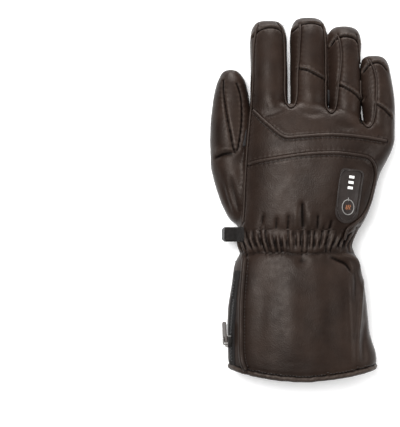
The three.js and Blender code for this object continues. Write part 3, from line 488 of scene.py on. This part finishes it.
# The closed skin of the whole glove
joined = bmesh.new()
for name in PANELS + FILLERS:
    joined.from_mesh(mesh_of(shell_of(name, GAP_CLOSING), name))
plug = shell_of("hem_binding", 0)
hull = bmesh.ops.convex_hull(plug, input=plug.verts)
loose = hull["geom_interior"] + hull["geom_unused"]
loose = [item for item in loose if isinstance(item, bmesh.types.BMVert)]
bmesh.ops.delete(plug, geom=loose, context="VERTS")
joined.from_mesh(mesh_of(plug, "plug"))
whole = mesh_of(joined, "whole")

coarse = remeshed(whole, COARSE_VOXEL)
skin = remeshed(whole, VOXEL)
links = links_of(skin)
quads = np.array(faces_of(skin))
places = relaxed(corners_of(skin), links, FACET_ROUNDS)
normals = normals_of(places, quads)
tree = BVHTree.FromPolygons([Vector(place) for place in places], faces_of(skin))
curves = {name: curve_on(tree, side, points) for name, side, kind, points in SEAMS}

# Which panel each face of the skin belongs to
owner_faces, owner_names, owner_places = [], [], []
for name in PANELS + FILLERS:
    part = shell_of(name, 0)
    offset = len(owner_places)
    owner_places += [vert.co.copy() for vert in part.verts]
    owner_faces += [[vert.index + offset for vert in face.verts] for face in part.faces]
    owner_names += [name] * len(part.faces)
    part.free()
owners = BVHTree.FromPolygons(owner_places, owner_faces)
SEAM_OWNERS = {
    "knuckle_welt": "mid_back_band",
    "back_welt": "back_panel",
    "opening_binding": "cuff_back_panel",
}
MOUTH = -1
flat_places = relaxed(corners_of(skin), links, 2)
hem = shell_of("hem_binding", 0)
hem_tree = BVHTree.FromBMesh(hem)
hem.free()
panel_of = []
for centre in flat_places[quads].mean(1):
    _, _, face, away = owners.find_nearest(Vector(centre))
    name = SEAM_OWNERS.get(owner_names[face], owner_names[face])
    on_mouth = away > MOUTH_AWAY * MM
    if name == "hem_binding":
        on_mouth = on_mouth or hem_tree.find_nearest(Vector(centre))[3] > MOUTH_AWAY_FROM_HEM * MM
    panel_of.append(MOUTH if on_mouth else PANELS.index(name))
panel_of = np.array(panel_of)


def borders(panels):
    """Edges of the skin between two panels, at least one of them among those given."""
    pairs = np.sort(np.stack([quads, np.roll(quads, -1, 1)], 2).reshape(-1, 2), 1)
    owner = np.repeat(panel_of, 4)
    order = np.lexsort((pairs[:, 1], pairs[:, 0]))
    pairs, owner = pairs[order], owner[order]
    same_edge = (pairs[1:] == pairs[:-1]).all(1)
    asked = np.isin(owner[1:], panels) | np.isin(owner[:-1], panels)
    return pairs[1:][same_edge & (owner[1:] != owner[:-1]) & asked]


all_borders = borders(range(len(PANELS)))


def swollen(coarse_mesh):
    """How far each corner of the coarse form moves when air fills the padding."""
    start = corners_of(coarse_mesh)
    held = np.zeros(len(start), dtype=bool)
    held |= start[:, 2] < FLOOR_HOLD * MM
    held |= start[:, 1] < (cad_bounds[0].y + HEM_HOLD * MM)
    held |= np.abs(start[:, 1] - GATHER_MIDDLE * MM) < WRIST_HOLD * MM
    lines = np.concatenate(list(curves.values()))
    for i, place in enumerate(start):
        if not held[i]:
            held[i] = ((lines - place) ** 2).sum(1).min() < (SEAM_HOLD * MM) ** 2
    form = bpy.data.objects.new("swelling", coarse_mesh)
    bpy.context.scene.collection.objects.link(form)
    pins = form.vertex_groups.new(name="seams")
    pins.add([int(i) for i in np.flatnonzero(held)], 1.0, "REPLACE")
    cloth = form.modifiers.new("Cloth", "CLOTH")
    cloth.settings.use_pressure = True
    cloth.settings.uniform_pressure_force = SWELL_PRESSURE
    cloth.settings.effector_weights.gravity = 0
    cloth.settings.vertex_group_mass = "seams"
    cloth.settings.pin_stiffness = 1
    for number in range(1, SWELL_FRAMES + 1):
        bpy.context.scene.frame_set(number)
    seen = bpy.context.evaluated_depsgraph_get()
    blown = form.evaluated_get(seen)
    end = corners_of(blown.to_mesh())
    blown.to_mesh_clear()
    bpy.data.objects.remove(form)
    bpy.context.scene.frame_set(1)
    move = end - start
    size = np.linalg.norm(move, axis=1, keepdims=True)
    return start, move * np.minimum(1, SWELL_CAP * MM / np.maximum(size, 1e-9))


def spread(places, start, move):
    """The coarse form's moves, blended over the corners of the fine skin."""
    near = KDTree(len(start))
    for i, place in enumerate(start):
        near.insert(place, i)
    near.balance()
    result = np.zeros_like(places)
    for i, place in enumerate(places):
        total = 0.0
        for _, j, distance in near.find_n(place, 4):
            weight = 1 / (distance + 1e-4) ** 2
            result[i] += weight * move[j]
            total += weight
        result[i] /= total
    return result


places = relaxed(places + spread(places, *swollen(coarse)), links, 3)
normals = normals_of(places, quads)
rim = np.clip((places[:, 1] / MM - HEM_FADE_START) / HEM_FADE, 0, 1)[:, None]
faces_mouth = normals[:, 1:2] < -0.3
places = places + normals * np.where(faces_mouth, rim, 1) * GROWTH * MM
for centre, push, radii in PUSHES:
    far = (((places / MM - centre) / radii) ** 2).sum(1)
    way = np.array(push) / np.linalg.norm(push)
    facing = np.clip(normals @ way * 1.4, 0, 1)
    places = places + (np.exp(-far) * facing)[:, None] * np.array(push) * MM
places = relaxed(places, links, 3)
normals = normals_of(places, quads)
tree = BVHTree.FromPolygons([Vector(place) for place in places], faces_of(skin))
curves = {name: curve_on(tree, side, points) for name, side, kind, points in SEAMS}

def way_round_wrist(places):
    """How far each corner is round the wrist's section, and how long the way round is."""
    turn = np.arctan2(places[:, 2] / MM - WRIST_CENTRE[1], places[:, 0] / MM - WRIST_CENTRE[0])
    section = np.abs(places[:, 1] / MM - GATHER_MIDDLE) < WRIST_SECTION
    bins = np.linspace(-math.pi, math.pi, WRIST_SLOTS + 1)
    slots = np.digitize(turn[section], bins)
    ring = [places[section][slots == i].mean(0) for i in range(1, WRIST_SLOTS + 1)]
    ring = np.array(ring)[:, [0, 2]] / MM
    steps = np.linalg.norm(np.roll(ring, -1, 0) - ring, axis=1)
    way = np.concatenate([[0], np.cumsum(steps)])
    half = math.pi / WRIST_SLOTS
    return np.interp(turn, np.append(bins[:-1] + half, math.pi + half), way), steps.sum()


def gathers(places):
    """The ribs of leather over the wrist's elastic, and how it draws the leather in."""
    around, whole_way = way_round_wrist(places)
    across = places[:, 1] / MM - GATHER_MIDDLE
    on_back = np.where(places[:, 2] > WRIST_CENTRE[1] * MM, 1, -1)
    fan = GATHER_FAN * across * (places[:, 0] / MM - WRIST_CENTRE[0]) * on_back
    bend = 0.35 * np.sin(around / 11 + 0.4) + 0.2 * np.sin(around / 3.7)
    rib = (around + fan + bend) / whole_way * round(whole_way / GATHER_PITCH)
    which = np.floor(rib + 0.5).astype(int)
    random_reach = np.array([random.uniform(0.6, 1.5) for _ in range(400)])
    random_height = np.array([random.uniform(0.75, 1.2) for _ in range(400)])
    reach_up = GATHER_REACH_UP * random_reach[which % 400]
    reach_down = GATHER_REACH_DOWN * random_reach[(which + 57) % 400]
    fade = np.exp(-((across / np.where(across > 0, reach_up, reach_down)) ** 2))
    crest = np.exp(-(((rib - which) / CREST_WIDTH) ** 2))
    ribs = fade * random_height[which % 400] * GATHER_HEIGHT * (crest - CREST_SUNK)
    waver = 0.9 * np.sin(around / 8.3) + 0.6 * np.sin(around / 3.1 + 1)
    for middle, width, depth in ELASTIC:
        ribs -= depth * np.exp(-(((across + waver - middle) / width) ** 2))
    return ribs


# How far each corner is lifted by gathers, folds, seams and creases
lift = gathers(places)
for side, height, radius, points in FOLDS:
    curve = curve_on(tree, side, points)
    found, far, left, along = nearest_on(curve, places, normals, radius * 3)
    ends = np.sin(np.clip(along, 0, 1) * math.pi) ** 0.5 * 0.6 + 0.4
    lift[found] += height * np.exp(-((far / radius) ** 2)) * ends

for side, place, height, radius in MOUNDS:
    centre = on_surface(tree, side, [place])[0]
    far = np.linalg.norm(places - np.array(centre), axis=1) / MM
    lift += height * np.exp(-((far / radius) ** 2))

# The hem's seam runs where its binding meets the cuff, in order round the mouth
hem_number = PANELS.index("hem_binding")
hem_edges = borders([hem_number])
on_cuff = quads[(panel_of != MOUTH) & (panel_of != hem_number)]
hem_corners = sorted(
    np.intersect1d(hem_edges, on_cuff),
    key=lambda corner: math.atan2(places[corner, 2] - HEM_CENTRE_HEIGHT * MM, places[corner, 0]),
)
hem_line = evenly_spaced([Vector(places[corner]) for corner in hem_corners], HEM_POINTS * MM)
hem_line = spline_through([*hem_line, hem_line[0]], CURVE_STEP * MM)
curves["hem_seam"] = np.array([tuple(point) for point in hem_line])
found, far, left, along = nearest_on(curves["hem_seam"], places, normals, SEAM_REACH)
seam_y = np.interp(along, np.linspace(0, 1, len(hem_line)), curves["hem_seam"][:, 1])
below = places[found, 1] < seam_y
lift[found] -= HEM_GROOVE * np.exp(-(far**2))
lift[found] += np.where(below, HEM_ROLL * np.sin(math.pi * np.clip(far / HEM_WIDTH, 0, 1)), 0)

for name, offset, start, end in STITCHES:
    found, far, left, along = nearest_on(curves[name], places, normals, STITCH_REACH)
    sewn = (along > start) & (along < end)
    furrow = FURROW_DEPTH * np.exp(-(((left - offset) / FURROW_WIDTH) ** 2))
    lift[found] -= np.where(sewn, furrow, 0)

for name, side, kind, points in SEAMS:
    shape = KINDS[kind]
    found, far, left, along = nearest_on(curves[name], places, normals, SEAM_REACH)
    lift[found] -= shape["groove"] * np.exp(-((far / shape["width"]) ** 2))
    step = np.exp(-(((far - STEP_PLACE) / STEP_WIDTH) ** 2))
    lift[found] += shape["step"] * np.where(left > 0, step, 0)
    pucker = np.cos(along * len(curves[name]) * CURVE_STEP * 2 * math.pi / PUCKER_PITCH)
    lift[found] += PUCKER_HEIGHT * pucker * np.exp(-(((far - PUCKER_PLACE) / PUCKER_WIDTH) ** 2))

creases = np.zeros(len(places))
for height, size in CREASES:
    for i, place in enumerate(places):
        creases[i] += height * noise.noise(Vector(place) / (size * MM))
on_floor = np.clip(places[:, 2] / MM / 4, 0, 1)
lift += creases
lift = np.where(normals[:, 2] < -0.5, lift * on_floor, lift)
lift = DEEPEST * np.tanh(lift / DEEPEST)
places = places + normals * (lift * MM)[:, None]
places = relaxed(places, links, 1, 0.35)
places[:, 2] = np.maximum(places[:, 2], FLOOR_GAP * MM)

# Borders between panels are drawn straight along themselves
places = relaxed(places, all_borders, 12)
tree = BVHTree.FromPolygons([Vector(place) for place in places], faces_of(skin))
normals = normals_of(places, quads)


def set_input(node, values):
    for key, value in values.items():
        node.inputs[key].default_value = value


class Finish:
    """A material and the short ways of adding nodes to it."""

    def __init__(self, name):
        self.material = bpy.data.materials.new(name)
        self.material.use_nodes = True
        self.tree = self.material.node_tree
        self.shader = self.tree.nodes["Principled BSDF"]
        self.where = self.tree.nodes.new("ShaderNodeTexCoord").outputs["Object"]

    def node(self, kind, **settings):
        made = self.tree.nodes.new(kind)
        for key, value in settings.items():
            setattr(made, key, value)
        return made

    def link(self, start, end):
        self.tree.links.new(start, end)

    def noise(self, scale, detail=3.0, roughness=0.55):
        made = self.node("ShaderNodeTexNoise")
        set_input(made, {"Scale": scale, "Detail": detail, "Roughness": roughness})
        self.link(self.where, made.inputs["Vector"])
        return made.outputs["Fac"]

    def cells(self, scale, smooth=0.4):
        made = self.node("ShaderNodeTexVoronoi", feature="SMOOTH_F1")
        set_input(made, {"Scale": scale, "Smoothness": smooth})
        self.link(self.where, made.inputs["Vector"])
        return made.outputs["Distance"]

    def between(self, value, low, high, from_low=0.0, from_high=1.0):
        made = self.node("ShaderNodeMapRange")
        set_input(made, {"From Min": from_low, "From Max": from_high, "To Min": low, "To Max": high})
        self.link(value, made.inputs["Value"])
        return made.outputs["Result"]

    def sum(self, *terms):
        total = None
        for value, share in terms:
            scaled = self.node("ShaderNodeMath", operation="MULTIPLY")
            self.link(value, scaled.inputs[0])
            scaled.inputs[1].default_value = share
            if total is None:
                total = scaled.outputs[0]
                continue
            added = self.node("ShaderNodeMath", operation="ADD")
            self.link(total, added.inputs[0])
            self.link(scaled.outputs[0], added.inputs[1])
            total = added.outputs[0]
        return total

    def blend(self, share, first, second):
        made = self.node("ShaderNodeMix", data_type="RGBA")
        self.link(share, made.inputs["Factor"])
        for key, value in (("A", first), ("B", second)):
            socket = [s for s in made.inputs if s.name == key and s.type == "RGBA"][0]
            if isinstance(value, bpy.types.NodeSocket):
                self.link(value, socket)
            else:
                socket.default_value = (*value, 1)
        return [s for s in made.outputs if s.type == "RGBA"][0]

    def bump(self, height, strength, distance):
        made = self.node("ShaderNodeBump")
        set_input(made, {"Strength": strength, "Distance": distance * MM})
        self.link(height, made.inputs["Height"])
        self.link(made.outputs["Normal"], self.shader.inputs["Normal"])

    def set(self, **values):
        for key, value in values.items():
            socket = self.shader.inputs[key.replace("_", " ")]
            if isinstance(value, bpy.types.NodeSocket):
                self.link(value, socket)
            else:
                socket.default_value = value


def leather_finish(name, dark, light, worn_highlight_colour):
    """Waxed leather: patchy brown, paler on its ridges where worn and as a painted highlight, and near black
    in its hollows as painted shade.
    """
    finish = Finish(name)
    tone = finish.between(finish.noise(38, 4), 0, 1, 0.3, 0.7)
    colour = finish.blend(tone, dark, light)
    # Pale ridges from the skin's marks: partly worn leather, partly a painted highlight
    worn_highlight_mask = finish.node("ShaderNodeAttribute", attribute_name="worn_and_highlit").outputs["Fac"]
    patchy = finish.node("ShaderNodeMath", operation="MULTIPLY")
    finish.link(worn_highlight_mask, patchy.inputs[0])
    finish.link(finish.between(finish.noise(420, 3), 0.35, 1, 0.35, 0.65), patchy.inputs[1])
    # Hollows of the skin are painted near black and lose most of their reflection: painted shade
    hollow_shade_mask = finish.node("ShaderNodeAttribute", attribute_name="hollow").outputs["Fac"]
    hollow_shaded_colour = finish.blend(finish.between(hollow_shade_mask, 0, 0.95), colour, (0.0022, 0.0015, 0.0013))
    finish.set(Base_Color=finish.blend(patchy.outputs[0], hollow_shaded_colour, worn_highlight_colour))
    finish.set(Roughness=finish.between(finish.noise(160, 4), 0.36, 0.48, 0.3, 0.7))
    finish.set(Specular_IOR_Level=finish.between(hollow_shade_mask, 0.15, 0.02), Specular_Tint=(1, 0.9, 0.83, 1))
    grain = finish.sum((finish.cells(950), 0.6), (finish.noise(500, 3), 0.25), (finish.noise(1900, 2), 0.15))
    finish.bump(grain, 0.5, 0.26)
    return finish.material


leather = leather_finish(
    "brown_leather", (0.0088, 0.0049, 0.0036), (0.02, 0.0118, 0.0086), (0.045, 0.0325, 0.026)
)
piping = leather_finish(
    "dark_piping", (0.01, 0.0062, 0.0048), (0.021, 0.0138, 0.0108), (0.06, 0.045, 0.037)
)
# Seam cords are lighter than the leather: partly worn edges, partly a painted highlight along them
seam_edge = leather_finish(
    "worn_highlit_seam_edge", (0.016, 0.0105, 0.0084), (0.034, 0.0238, 0.0195), (0.06, 0.046, 0.038)
)


def fabric_finish(name, dark, light, pitch):
    """Woven or knitted cloth with threads of that pitch."""
    finish = Finish(name)
    weave = finish.node("ShaderNodeTexChecker")
    finish.link(finish.where, weave.inputs["Vector"])
    weave.inputs["Scale"].default_value = 1 / (pitch * MM)
    tone = finish.between(finish.noise(500, 3), 0, 1, 0.3, 0.7)
    finish.set(Base_Color=finish.blend(tone, dark, light), Roughness=0.85, Specular_IOR_Level=0.2)
    height = finish.sum((weave.outputs["Fac"], 0.6), (finish.noise(2400, 2), 0.5))
    finish.bump(height, 0.5, 0.2)
    return finish.material


def plain_finish(name, dark, light, roughness, metal=0.0, grain=900, strength=0.15, shine=None):
    """Plastic, print or metal of two near tones with a fine grain."""
    finish = Finish(name)
    tone = finish.between(finish.noise(120, 4), 0, 1, 0.3, 0.7)
    low, high = roughness
    finish.set(Base_Color=finish.blend(tone, dark, light), Metallic=metal)
    finish.set(Roughness=finish.between(finish.noise(340, 4), low, high, 0.3, 0.7))
    if shine is not None:
        finish.set(Specular_IOR_Level=shine)
    finish.bump(finish.noise(grain, 3), strength, 0.08)
    return finish.material


nylon = fabric_finish("black_nylon", (0.0065, 0.0054, 0.005), (0.0135, 0.0115, 0.0108), 0.6)
lining = fabric_finish("fleece_lining", (0.012, 0.011, 0.011), (0.024, 0.022, 0.022), 1.3)
thread = plain_finish("bonded_thread", (0.009, 0.007, 0.006), (0.02, 0.015, 0.013), (0.45, 0.6))
plastic = plain_finish("black_acetal", (0.009, 0.009, 0.0095), (0.015, 0.015, 0.016), (0.28, 0.4))
moulded = plain_finish(
    "soft_moulding", (0.016, 0.0118, 0.0104), (0.026, 0.0198, 0.0176), (0.34, 0.46),
    grain=2200, strength=0.35, shine=0.25,
)
lights = plain_finish("light_window", (0.72, 0.72, 0.7), (0.86, 0.86, 0.84), (0.25, 0.35))
grey_print = plain_finish("grey_print", (0.15, 0.142, 0.136), (0.24, 0.23, 0.22), (0.4, 0.55))
amber_print = plain_finish("amber_print", (0.2, 0.066, 0.022), (0.34, 0.12, 0.04), (0.4, 0.55))
nickel = plain_finish(
    "dark_nickel", (0.14, 0.135, 0.13), (0.3, 0.29, 0.275), (0.26, 0.4), metal=1.0, strength=0.1
)
lacquer = plain_finish("brown_lacquer", (0.048, 0.04, 0.036), (0.085, 0.072, 0.065), (0.4, 0.55))
coated = plain_finish("coated_zip_tape", (0.014, 0.0106, 0.0092), (0.026, 0.0205, 0.018), (0.42, 0.52))


def add_piece(name, mesh, finishes, replaced=(), body="glove"):
    """A new smooth piece of the glove, in place of the solids named as replaced."""
    thing = bpy.data.objects.new(name, mesh)
    bpy.context.scene.collection.objects.link(thing)
    mesh.materials.clear()
    for finish in finishes:
        mesh.materials.append(finish)
    for face in mesh.polygons:
        face.use_smooth = True
    if replaced:
        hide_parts(*replaced)
    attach(thing, body)
    return thing


# Ridges of the skin are marked paler, where worn and as a painted highlight, and its hollows darker as
# painted shade
curved = relaxed(places, links, 4)
raised = ((places - curved) * normals).sum(1) / MM
worn_and_highlit = np.clip((raised - 0.02) / 0.22, 0, 1) ** 1.3
hollow = np.clip((-raised - 0.015) / 0.13, 0, 1)
skin.vertices.foreach_set("co", places.ravel())
for key, values in (("worn_and_highlit", worn_and_highlit), ("hollow", hollow)):
    layer = skin.attributes.new(key, "FLOAT", "POINT")
    layer.data.foreach_set("value", values.astype(np.float32))

# The skin comes apart into its panels by a marker material for each
markers = [bpy.data.materials.new(f"marker_{name}") for name in [*PANELS, "mouth"]]
skin.materials.clear()
for marker in markers:
    skin.materials.append(marker)
marker_of = np.where(panel_of == MOUTH, len(PANELS), panel_of).astype(np.int32)
skin.polygons.foreach_set("material_index", marker_of)
whole_skin = bpy.data.objects.new("skin", skin)
bpy.context.scene.collection.objects.link(whole_skin)
bpy.context.view_layer.objects.active = whole_skin
whole_skin.select_set(True)
bpy.ops.mesh.separate(type="MATERIAL")
cut = {thing.data.materials[0].name: thing for thing in list(bpy.context.selected_objects)}


def add_panel(name):
    """One panel of the skin, given the thickness of its leather and padding."""
    thing = cut[f"marker_{name}"]
    part = bmesh.new()
    part.from_mesh(thing.data)
    bpy.data.objects.remove(thing)
    for edge in part.edges:
        edge.smooth = not edge.is_boundary
    mesh = mesh_of(part, name)
    is_tape = "tape" in name
    slot = "nylon" if is_tape else "piping" if "binding" in name else "leather"
    face_finish = {"nylon": coated, "piping": piping, "leather": leather}[slot]
    panel = add_piece(f"{name}_shell", mesh, [face_finish, lining], [name])
    wall = panel.modifiers.new("Wall", "SOLIDIFY")
    wall.thickness = (TAPE_THICKNESS if is_tape else PANEL_THICKNESS) * MM
    wall.offset = -1
    wall.material_offset = 0 if is_tape else 1


for name in PANELS:
    add_panel(name)
bpy.data.objects.remove(cut["marker_mouth"])
for marker in markers:
    bpy.data.materials.remove(marker)


def settled(points, height):
    """Points moved onto the skin and held at a height over it."""
    result = []
    for point in points:
        place, normal, _, _ = tree.find_nearest(Vector(point))
        result.append(place + normal * height * MM)
    return result


def add_cord(name, points, radius, finish, replaced=()):
    """A round cord through the points, kept over the floor."""
    for place in points:
        place.z = max(place.z, (radius + 0.05) * MM)
    line = bpy.data.curves.new(name, "CURVE")
    line.dimensions = "3D"
    line.bevel_depth = radius * MM
    line.bevel_resolution = 3
    line.use_fill_caps = True
    spline = line.splines.new("POLY")
    spline.points.add(len(points) - 1)
    for point, place in zip(spline.points, points):
        point.co = (*place, 1)
    shape = bpy.data.objects.new(name, line)
    bpy.context.scene.collection.objects.link(shape)
    seen = bpy.context.evaluated_depsgraph_get()
    mesh = bpy.data.meshes.new_from_object(shape.evaluated_get(seen))
    bpy.data.objects.remove(shape)
    add_piece(name, mesh, [finish], replaced)


# Cords of the seams that have one
for name, side, kind, points in SEAMS:
    shape = KINDS[kind]
    if not shape["cord"]:
        continue
    path = settled(curves[name], shape["groove"] + shape["rise"] - 0.5 * shape["cord"])
    path = [(a + 2 * b + c) / 4 for a, b, c in zip(path, path[1:], path[2:])]
    finish = piping if kind == "bound" else seam_edge
    replaced = [name] if name in FILLERS else ()
    add_cord(f"{name}_cord", path, shape["cord"], finish, replaced)


def stitch_row(bed, seam, offset, start, end):
    """Short thread capsules sunk into the leather beside a seam."""
    curve = [Vector(point) for point in curves[seam]]
    first, last = int(start * (len(curve) - 1)), int(end * (len(curve) - 1))
    row = evenly_spaced(curve[first : last + 1], STITCH_PITCH * MM)
    for before, after in zip(row, row[1:]):
        middle = (before + after) / 2
        place, normal, _, _ = tree.find_nearest(middle)
        along = (after - before).normalized()
        aside = normal.cross(along).normalized()
        place, normal, _, _ = tree.find_nearest(place + aside * offset * MM)
        along = (along - normal * along.dot(normal)).normalized()
        turned = Matrix((along, normal.cross(along), normal)).transposed().to_4x4()
        size = Matrix.Diagonal((STITCH_LENGTH / 2 * MM, STITCH_RADIUS * MM, STITCH_RADIUS * MM, 1))
        where = Matrix.Translation(place + normal * STITCH_RISE * MM) @ turned @ size
        where = where @ Matrix.Rotation(math.pi / 2, 4, "Y")
        bmesh.ops.create_uvsphere(bed, u_segments=6, v_segments=5, radius=1, matrix=where)


for seam in dict.fromkeys(row[0] for row in STITCHES):
    bed = bmesh.new()
    for row in STITCHES:
        if row[0] == seam:
            stitch_row(bed, *row)
    add_piece(f"{seam}_stitches", mesh_of(bed, seam), [thread], ())


def add_strap():
    """Webbing from the hook's bar over the side of the wrist, lying on the leather."""
    low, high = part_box("clip_hook")
    middle_y = (low[1] + high[1]) / 2
    tail = Vector((low[0] + 2.1 * MM, middle_y, high[2] - 1.2 * MM))
    over = Vector((low[0] + 5.2 * MM, middle_y, high[2] + 0.8 * MM))
    root = Vector((high[0], middle_y, high[2] + 0.8 * MM))
    ground = on_surface(tree, "back", [(x, middle_y / MM) for x in STRAP_ENDS])
    ground = [place + Vector((0, 0, STRAP_RISE * MM)) for place in ground]
    line = spline_through([tail, over, root, *ground], CURVE_STEP * MM)
    part = bmesh.new()
    bmesh.ops.create_grid(part, x_segments=len(line) - 1, y_segments=6, size=0.5)
    for vert in part.verts:
        step = round((vert.co.x + 0.5) * (len(line) - 1))
        place = line[step].copy()
        place.y += vert.co.y * STRAP_WIDTH * MM
        if place.x > STRAP_ENDS[0] * MM:
            under = on_surface(tree, "back", [(place.x / MM, place.y / MM)])[0]
            place.z = under.z + STRAP_RISE * MM
        vert.co = place
    strap = add_piece("hook_strap", mesh_of(part, "hook_strap"), [nylon], ["webbing_loop"])
    wall = strap.modifiers.new("Wall", "SOLIDIFY")
    wall.thickness = STRAP_THICKNESS * MM
    wall.offset = 0


add_strap()


def on_control(x, y, height=0.0):
    """A place on the moulded control, as far over it as given, all in millimetres."""
    place = control_tree.ray_cast(Vector((x * MM, y * MM, 0.2)), Vector((0, 0, -1)))[0]
    return place + Vector((0, 0, height * MM))


# The control's rim, and the prints on its button
control = shell_of("control_panel", 0)
control.from_mesh(nodes["push_button"].data)
control_tree = BVHTree.FromBMesh(control)
control.free()
rim_path = spline_through([(x, y, 0) for x, y in CONTROL_RIM], 1.0)
rim_path = [on_control(place.x, place.y, 0.15) for place in rim_path]
add_cord("control_rim", [*rim_path, rim_path[0]], 0.5, moulded, ())

ring_x, ring_y = BUTTON_CENTRE
oval = []
for i in range(49):
    angle = i / 48 * 2 * math.pi
    x = ring_x + BUTTON_OVAL[0] * math.sin(angle)
    y = ring_y + BUTTON_OVAL[1] * math.cos(angle)
    oval.append(on_control(x, y, PRINT_RISE))
tick = [on_control(ring_x + 0.3, ring_y + BUTTON_OVAL[1] + up, PRINT_RISE) for up in (-1.1, 0.4, 1.9)]
add_cord("button_outline", oval, PRINT_RADIUS, grey_print, ["button_ring"])
add_cord("button_tick", tick, PRINT_RADIUS, grey_print, ())
for number, side in enumerate(MARK_SPREAD, 1):
    wave = [
        on_control(ring_x + side + 0.4 * math.sin(up * 1.9), ring_y + up, 0.2) for up in MARK_HEIGHTS
    ]
    add_cord(f"warmth_mark_{number}", wave, MARK_RADIUS, amber_print, ())


def add_zip_teeth(tape, name, along, outwards):
    """A coil of small teeth down the middle of a zip's tape, which runs along that axis."""
    strip = shell_of(tape, 0)
    strip_tree = BVHTree.FromBMesh(strip)
    low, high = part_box(tape)
    verts = np.array([tuple(vert.co) for vert in strip.verts])
    strip.free()
    fits = [np.polyfit(verts[:, along], verts[:, axis], 2) for axis in range(3)]
    start, end = low[along] + ZIP_END * MM, high[along] - ZIP_END * MM
    part = bmesh.new()
    count = int((end - start) / (TOOTH_PITCH * MM))
    for i in range(count):
        at = start + (end - start) * i / (count - 1)
        middle = Vector([np.polyval(fit, at) for fit in fits])
        place, normal, _, _ = strip_tree.find_nearest(middle + Vector(outwards) * 0.02)
        forward = Vector([1.0 if axis == along else 0.0 for axis in range(3)])
        forward = (forward - normal * forward.dot(normal)).normalized()
        aside = normal.cross(forward)
        turned = Matrix((aside, forward, normal)).transposed().to_4x4()
        size = Matrix.Diagonal((*(length * MM for length in TOOTH_SIZE), 1))
        shift = aside * (TOOTH_SHIFT if i % 2 else -TOOTH_SHIFT) * MM + normal * TOOTH_RISE * MM
        where = Matrix.Translation(place + shift) @ turned @ size
        bmesh.ops.create_cube(part, size=1, matrix=where)
    teeth = add_piece(name, mesh_of(part, name), [plastic], ())
    edge = teeth.modifiers.new("Edges", "BEVEL")
    edge.width = 0.15 * MM
    edge.segments = 1
    for face in teeth.data.polygons:
        face.use_smooth = False


add_zip_teeth("cuff_zip_tape", "cuff_zip_teeth", 1, (-1, 0, 0.6))
add_zip_teeth("pocket_zip_tape", "pocket_zip_teeth", 0, (0, 0, -1))

# Hard parts keep their solids
HARD = {
    "control_panel": moulded, "light_bar_1": lights, "light_bar_2": lights, "light_bar_3": lights,
    "push_button": moulded, "clip_hook": plastic,
    "cuff_zip_tape": nylon, "pocket_zip_slider": nickel, "pocket_zip_pull": lacquer,
    "cuff_zip_slider": nickel, "cuff_zip_pull": lacquer,
}
for name, finish in HARD.items():
    part = nodes[name]
    part.data.materials.clear()
    part.data.materials.append(finish)
    edge = part.modifiers.new("Edges", "BEVEL")
    edge.width = 0.25 * MM
    edge.segments = 2
    edge.limit_method = "ANGLE"

# Camera, floor and light
camera_data = bpy.data.cameras.new("camera")
camera_data.lens = LENS
camera_data.sensor_width = SENSOR
camera_data.clip_end = 20
camera = bpy.data.objects.new("camera", camera_data)
bpy.context.scene.collection.objects.link(camera)
bpy.context.scene.camera = camera
height = LONG_SIDE * MM * LENS / SENSOR + OUTLINE_HEIGHT * MM
camera.location = (VIEW_CENTRE[0] * MM, VIEW_CENTRE[1] * MM, height)

floor_part = bmesh.new()
bmesh.ops.create_grid(floor_part, x_segments=2, y_segments=2, size=3)
floor_mesh = mesh_of(floor_part, "floor")
floor = bpy.data.objects.new("floor", floor_mesh)
bpy.context.scene.collection.objects.link(floor)
floor_finish = Finish("pale_floor")
floor_finish.set(Base_Color=(0.93, 0.93, 0.93, 1), Roughness=0.9)
floor_finish.set(Emission_Color=(1, 1, 1, 1), Emission_Strength=0.25)
floor_mesh.materials.append(floor_finish.material)

world = bpy.data.worlds.new("studio")
world.use_nodes = True
set_input(world.node_tree.nodes["Background"], {"Color": (1, 1, 1, 1), "Strength": SURROUNDINGS})
bpy.context.scene.world = world
bpy.context.scene.view_settings.view_transform = "Standard"

for name, place, size, power in LAMPS:
    lamp = bpy.data.lights.new(name, "AREA")
    lamp.shape = "DISK"
    lamp.size = size
    lamp.energy = power
    light = bpy.data.objects.new(name, lamp)
    light.location = place
    light.rotation_mode = "QUATERNION"
    light.rotation_quaternion = Vector(place).to_track_quat("Z", "Y")
    bpy.context.scene.collection.objects.link(light)

bpy.context.view_layer.update()
